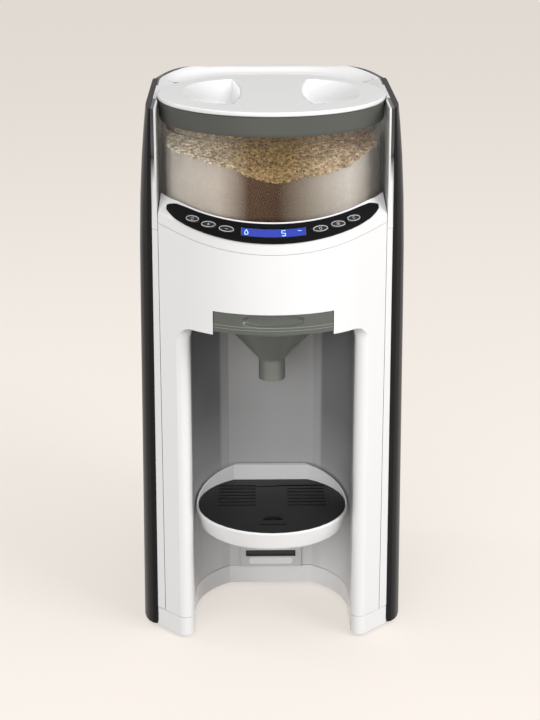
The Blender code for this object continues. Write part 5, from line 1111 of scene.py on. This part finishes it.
# %% Rail lip
LIP_HALF = 0.0166
LIP_LOW, LIP_HIGH = 0.0186, 0.0238
outline = [(x - LIP_HALF, z) for x, z in softened(
    [(0.0, LIP_LOW), (LIP_HALF * 2, LIP_LOW), (LIP_HALF * 2, LIP_HIGH), (0.0, LIP_HIGH)], 0.0024, True)]
rail_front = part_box("tray_rail")[0][1]
bm = bmesh.new()
near_face, far_face = ([bm.verts.new((x, rail_front + depth, z)) for x, z in outline]
                       for depth in (-0.0002, 0.0004))
bm.faces.new(near_face)
bm.faces.new(reversed(far_face))
for k in range(len(outline)):
    n = (k + 1) % len(outline)
    bm.faces.new((near_face[k], far_face[k], far_face[n], near_face[n]))
lip = made(bm, "rail_lip", FINISHES["white_plastic"])
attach(settle(lip), BODY_OF["tray_rail"])
print("rail front at y", round(rail_front, 4))

# %% [markdown]
# ## What stays as it is
# Everything inside keeps its exact solid and only changes its finish.

# %% Finishes for the kept nodes
for node, solid in frame["nodes"].items():
    if not solid.data.materials:
        solid.data.materials.append(None)
    for place in range(len(solid.material_slots)):
        solid.material_slots[place].material = (CLEAR_SEAL if node == "lid_seal"
                                                else FINISHES[SLOT_OF[node]])
print("kept nodes have their finishes")

# %% [markdown]
# ## The studio
# A pale floor runs on behind the machine until it is the whole background. Part of its
# brightness is its own, so it looks even, and the rest is lit, so the machine still has its
# shadow.

# %% Floor and world
BACKDROP = colour(240, 233, 226)
FLOOR_HALF = 9.0
FLOOR_LIT = 0.42
FLOOR_OWN = 0.67
AIR_LIGHT = 0.42


def floor_material():
    """Even pale floor that keeps a shadow."""
    material, tree = blank("pale_floor")
    drift = add_node(tree, "ShaderNodeMapRange",
                     {"Value": mottled(tree, 1.5), "To Min": 0.995, "To Max": 1.0}).outputs[0]
    path = add_node(tree, "ShaderNodeLightPath").outputs
    seen = reckon(tree, "MAXIMUM", path["Is Camera Ray"], path["Is Glossy Ray"])
    seen = reckon(tree, "MAXIMUM", seen, path["Is Transmission Ray"])
    strength = reckon(tree, "MULTIPLY", reckon(tree, "MULTIPLY", seen, FLOOR_OWN), drift)
    lit = add_node(tree, "ShaderNodeBsdfDiffuse",
                   {"Color": tuple(FLOOR_LIT * v for v in BACKDROP[:3]) + (1,)})
    own = add_node(tree, "ShaderNodeEmission", {"Color": BACKDROP, "Strength": strength})
    both = add_node(tree, "ShaderNodeAddShader", {0: lit.outputs[0], 1: own.outputs[0]})
    add_node(tree, "ShaderNodeOutputMaterial", {"Surface": both.outputs[0]})
    return material


bm = bmesh.new()
bmesh.ops.create_grid(bm, x_segments=1, y_segments=1, size=FLOOR_HALF)
floor = made(bm, "floor", floor_material(), outward=False)

bpy.context.scene.world, tree = blank("studio", "worlds")
path = add_node(tree, "ShaderNodeLightPath")
shown = add_node(tree, "ShaderNodeBackground", {"Color": BACKDROP, "Strength": 1.0})
lighting = add_node(tree, "ShaderNodeBackground",
                    {"Color": (1.0, 0.985, 0.97, 1), "Strength": AIR_LIGHT})
choice = add_node(tree, "ShaderNodeMixShader", {0: path.outputs["Is Camera Ray"],
                                                1: lighting.outputs[0], 2: shown.outputs[0]})
add_node(tree, "ShaderNodeOutputWorld", {"Surface": choice.outputs[0]})
print("floor half width:", FLOOR_HALF, "m")

# %% [markdown]
# ## Softboxes
# One large box above and to the right in front models the white shell. Tall strips at the sides
# draw the bright lines on the black casings and on the clear hopper.

# %% Lights
def softbox(name, place, aim_height, width, height, power):
    """A rectangular lamp that looks at a point on the machine's middle line."""
    lamp = bpy.data.lights.new(name, "AREA")
    lamp.shape = "RECTANGLE"
    lamp.size = width
    lamp.size_y = height
    lamp.energy = power
    box = bpy.data.objects.new(name, lamp)
    box.location = place
    towards = Vector((0, 0, aim_height)) - Vector(place)
    box.rotation_euler = towards.to_track_quat("-Z", "Y").to_euler()
    bpy.context.scene.collection.objects.link(box)


softbox("right_front_box", (1.6, -1.3, 1.7), 0.2, 1.1, 1.1, 25.5)
softbox("front_box", (-0.6, -2.2, 0.8), 0.2, 1.6, 1.2, 26)
softbox("top_box", (-0.1, 0.2, 1.7), 0.3, 1.4, 1.4, 5)
softbox("left_strip", (-1.1, 0.35, 0.72), 0.25, 0.25, 1.2, 2)
softbox("right_panel", (1.2, -0.28, 0.92), 0.30, 0.9, 1.7, 5)
print("five softboxes")
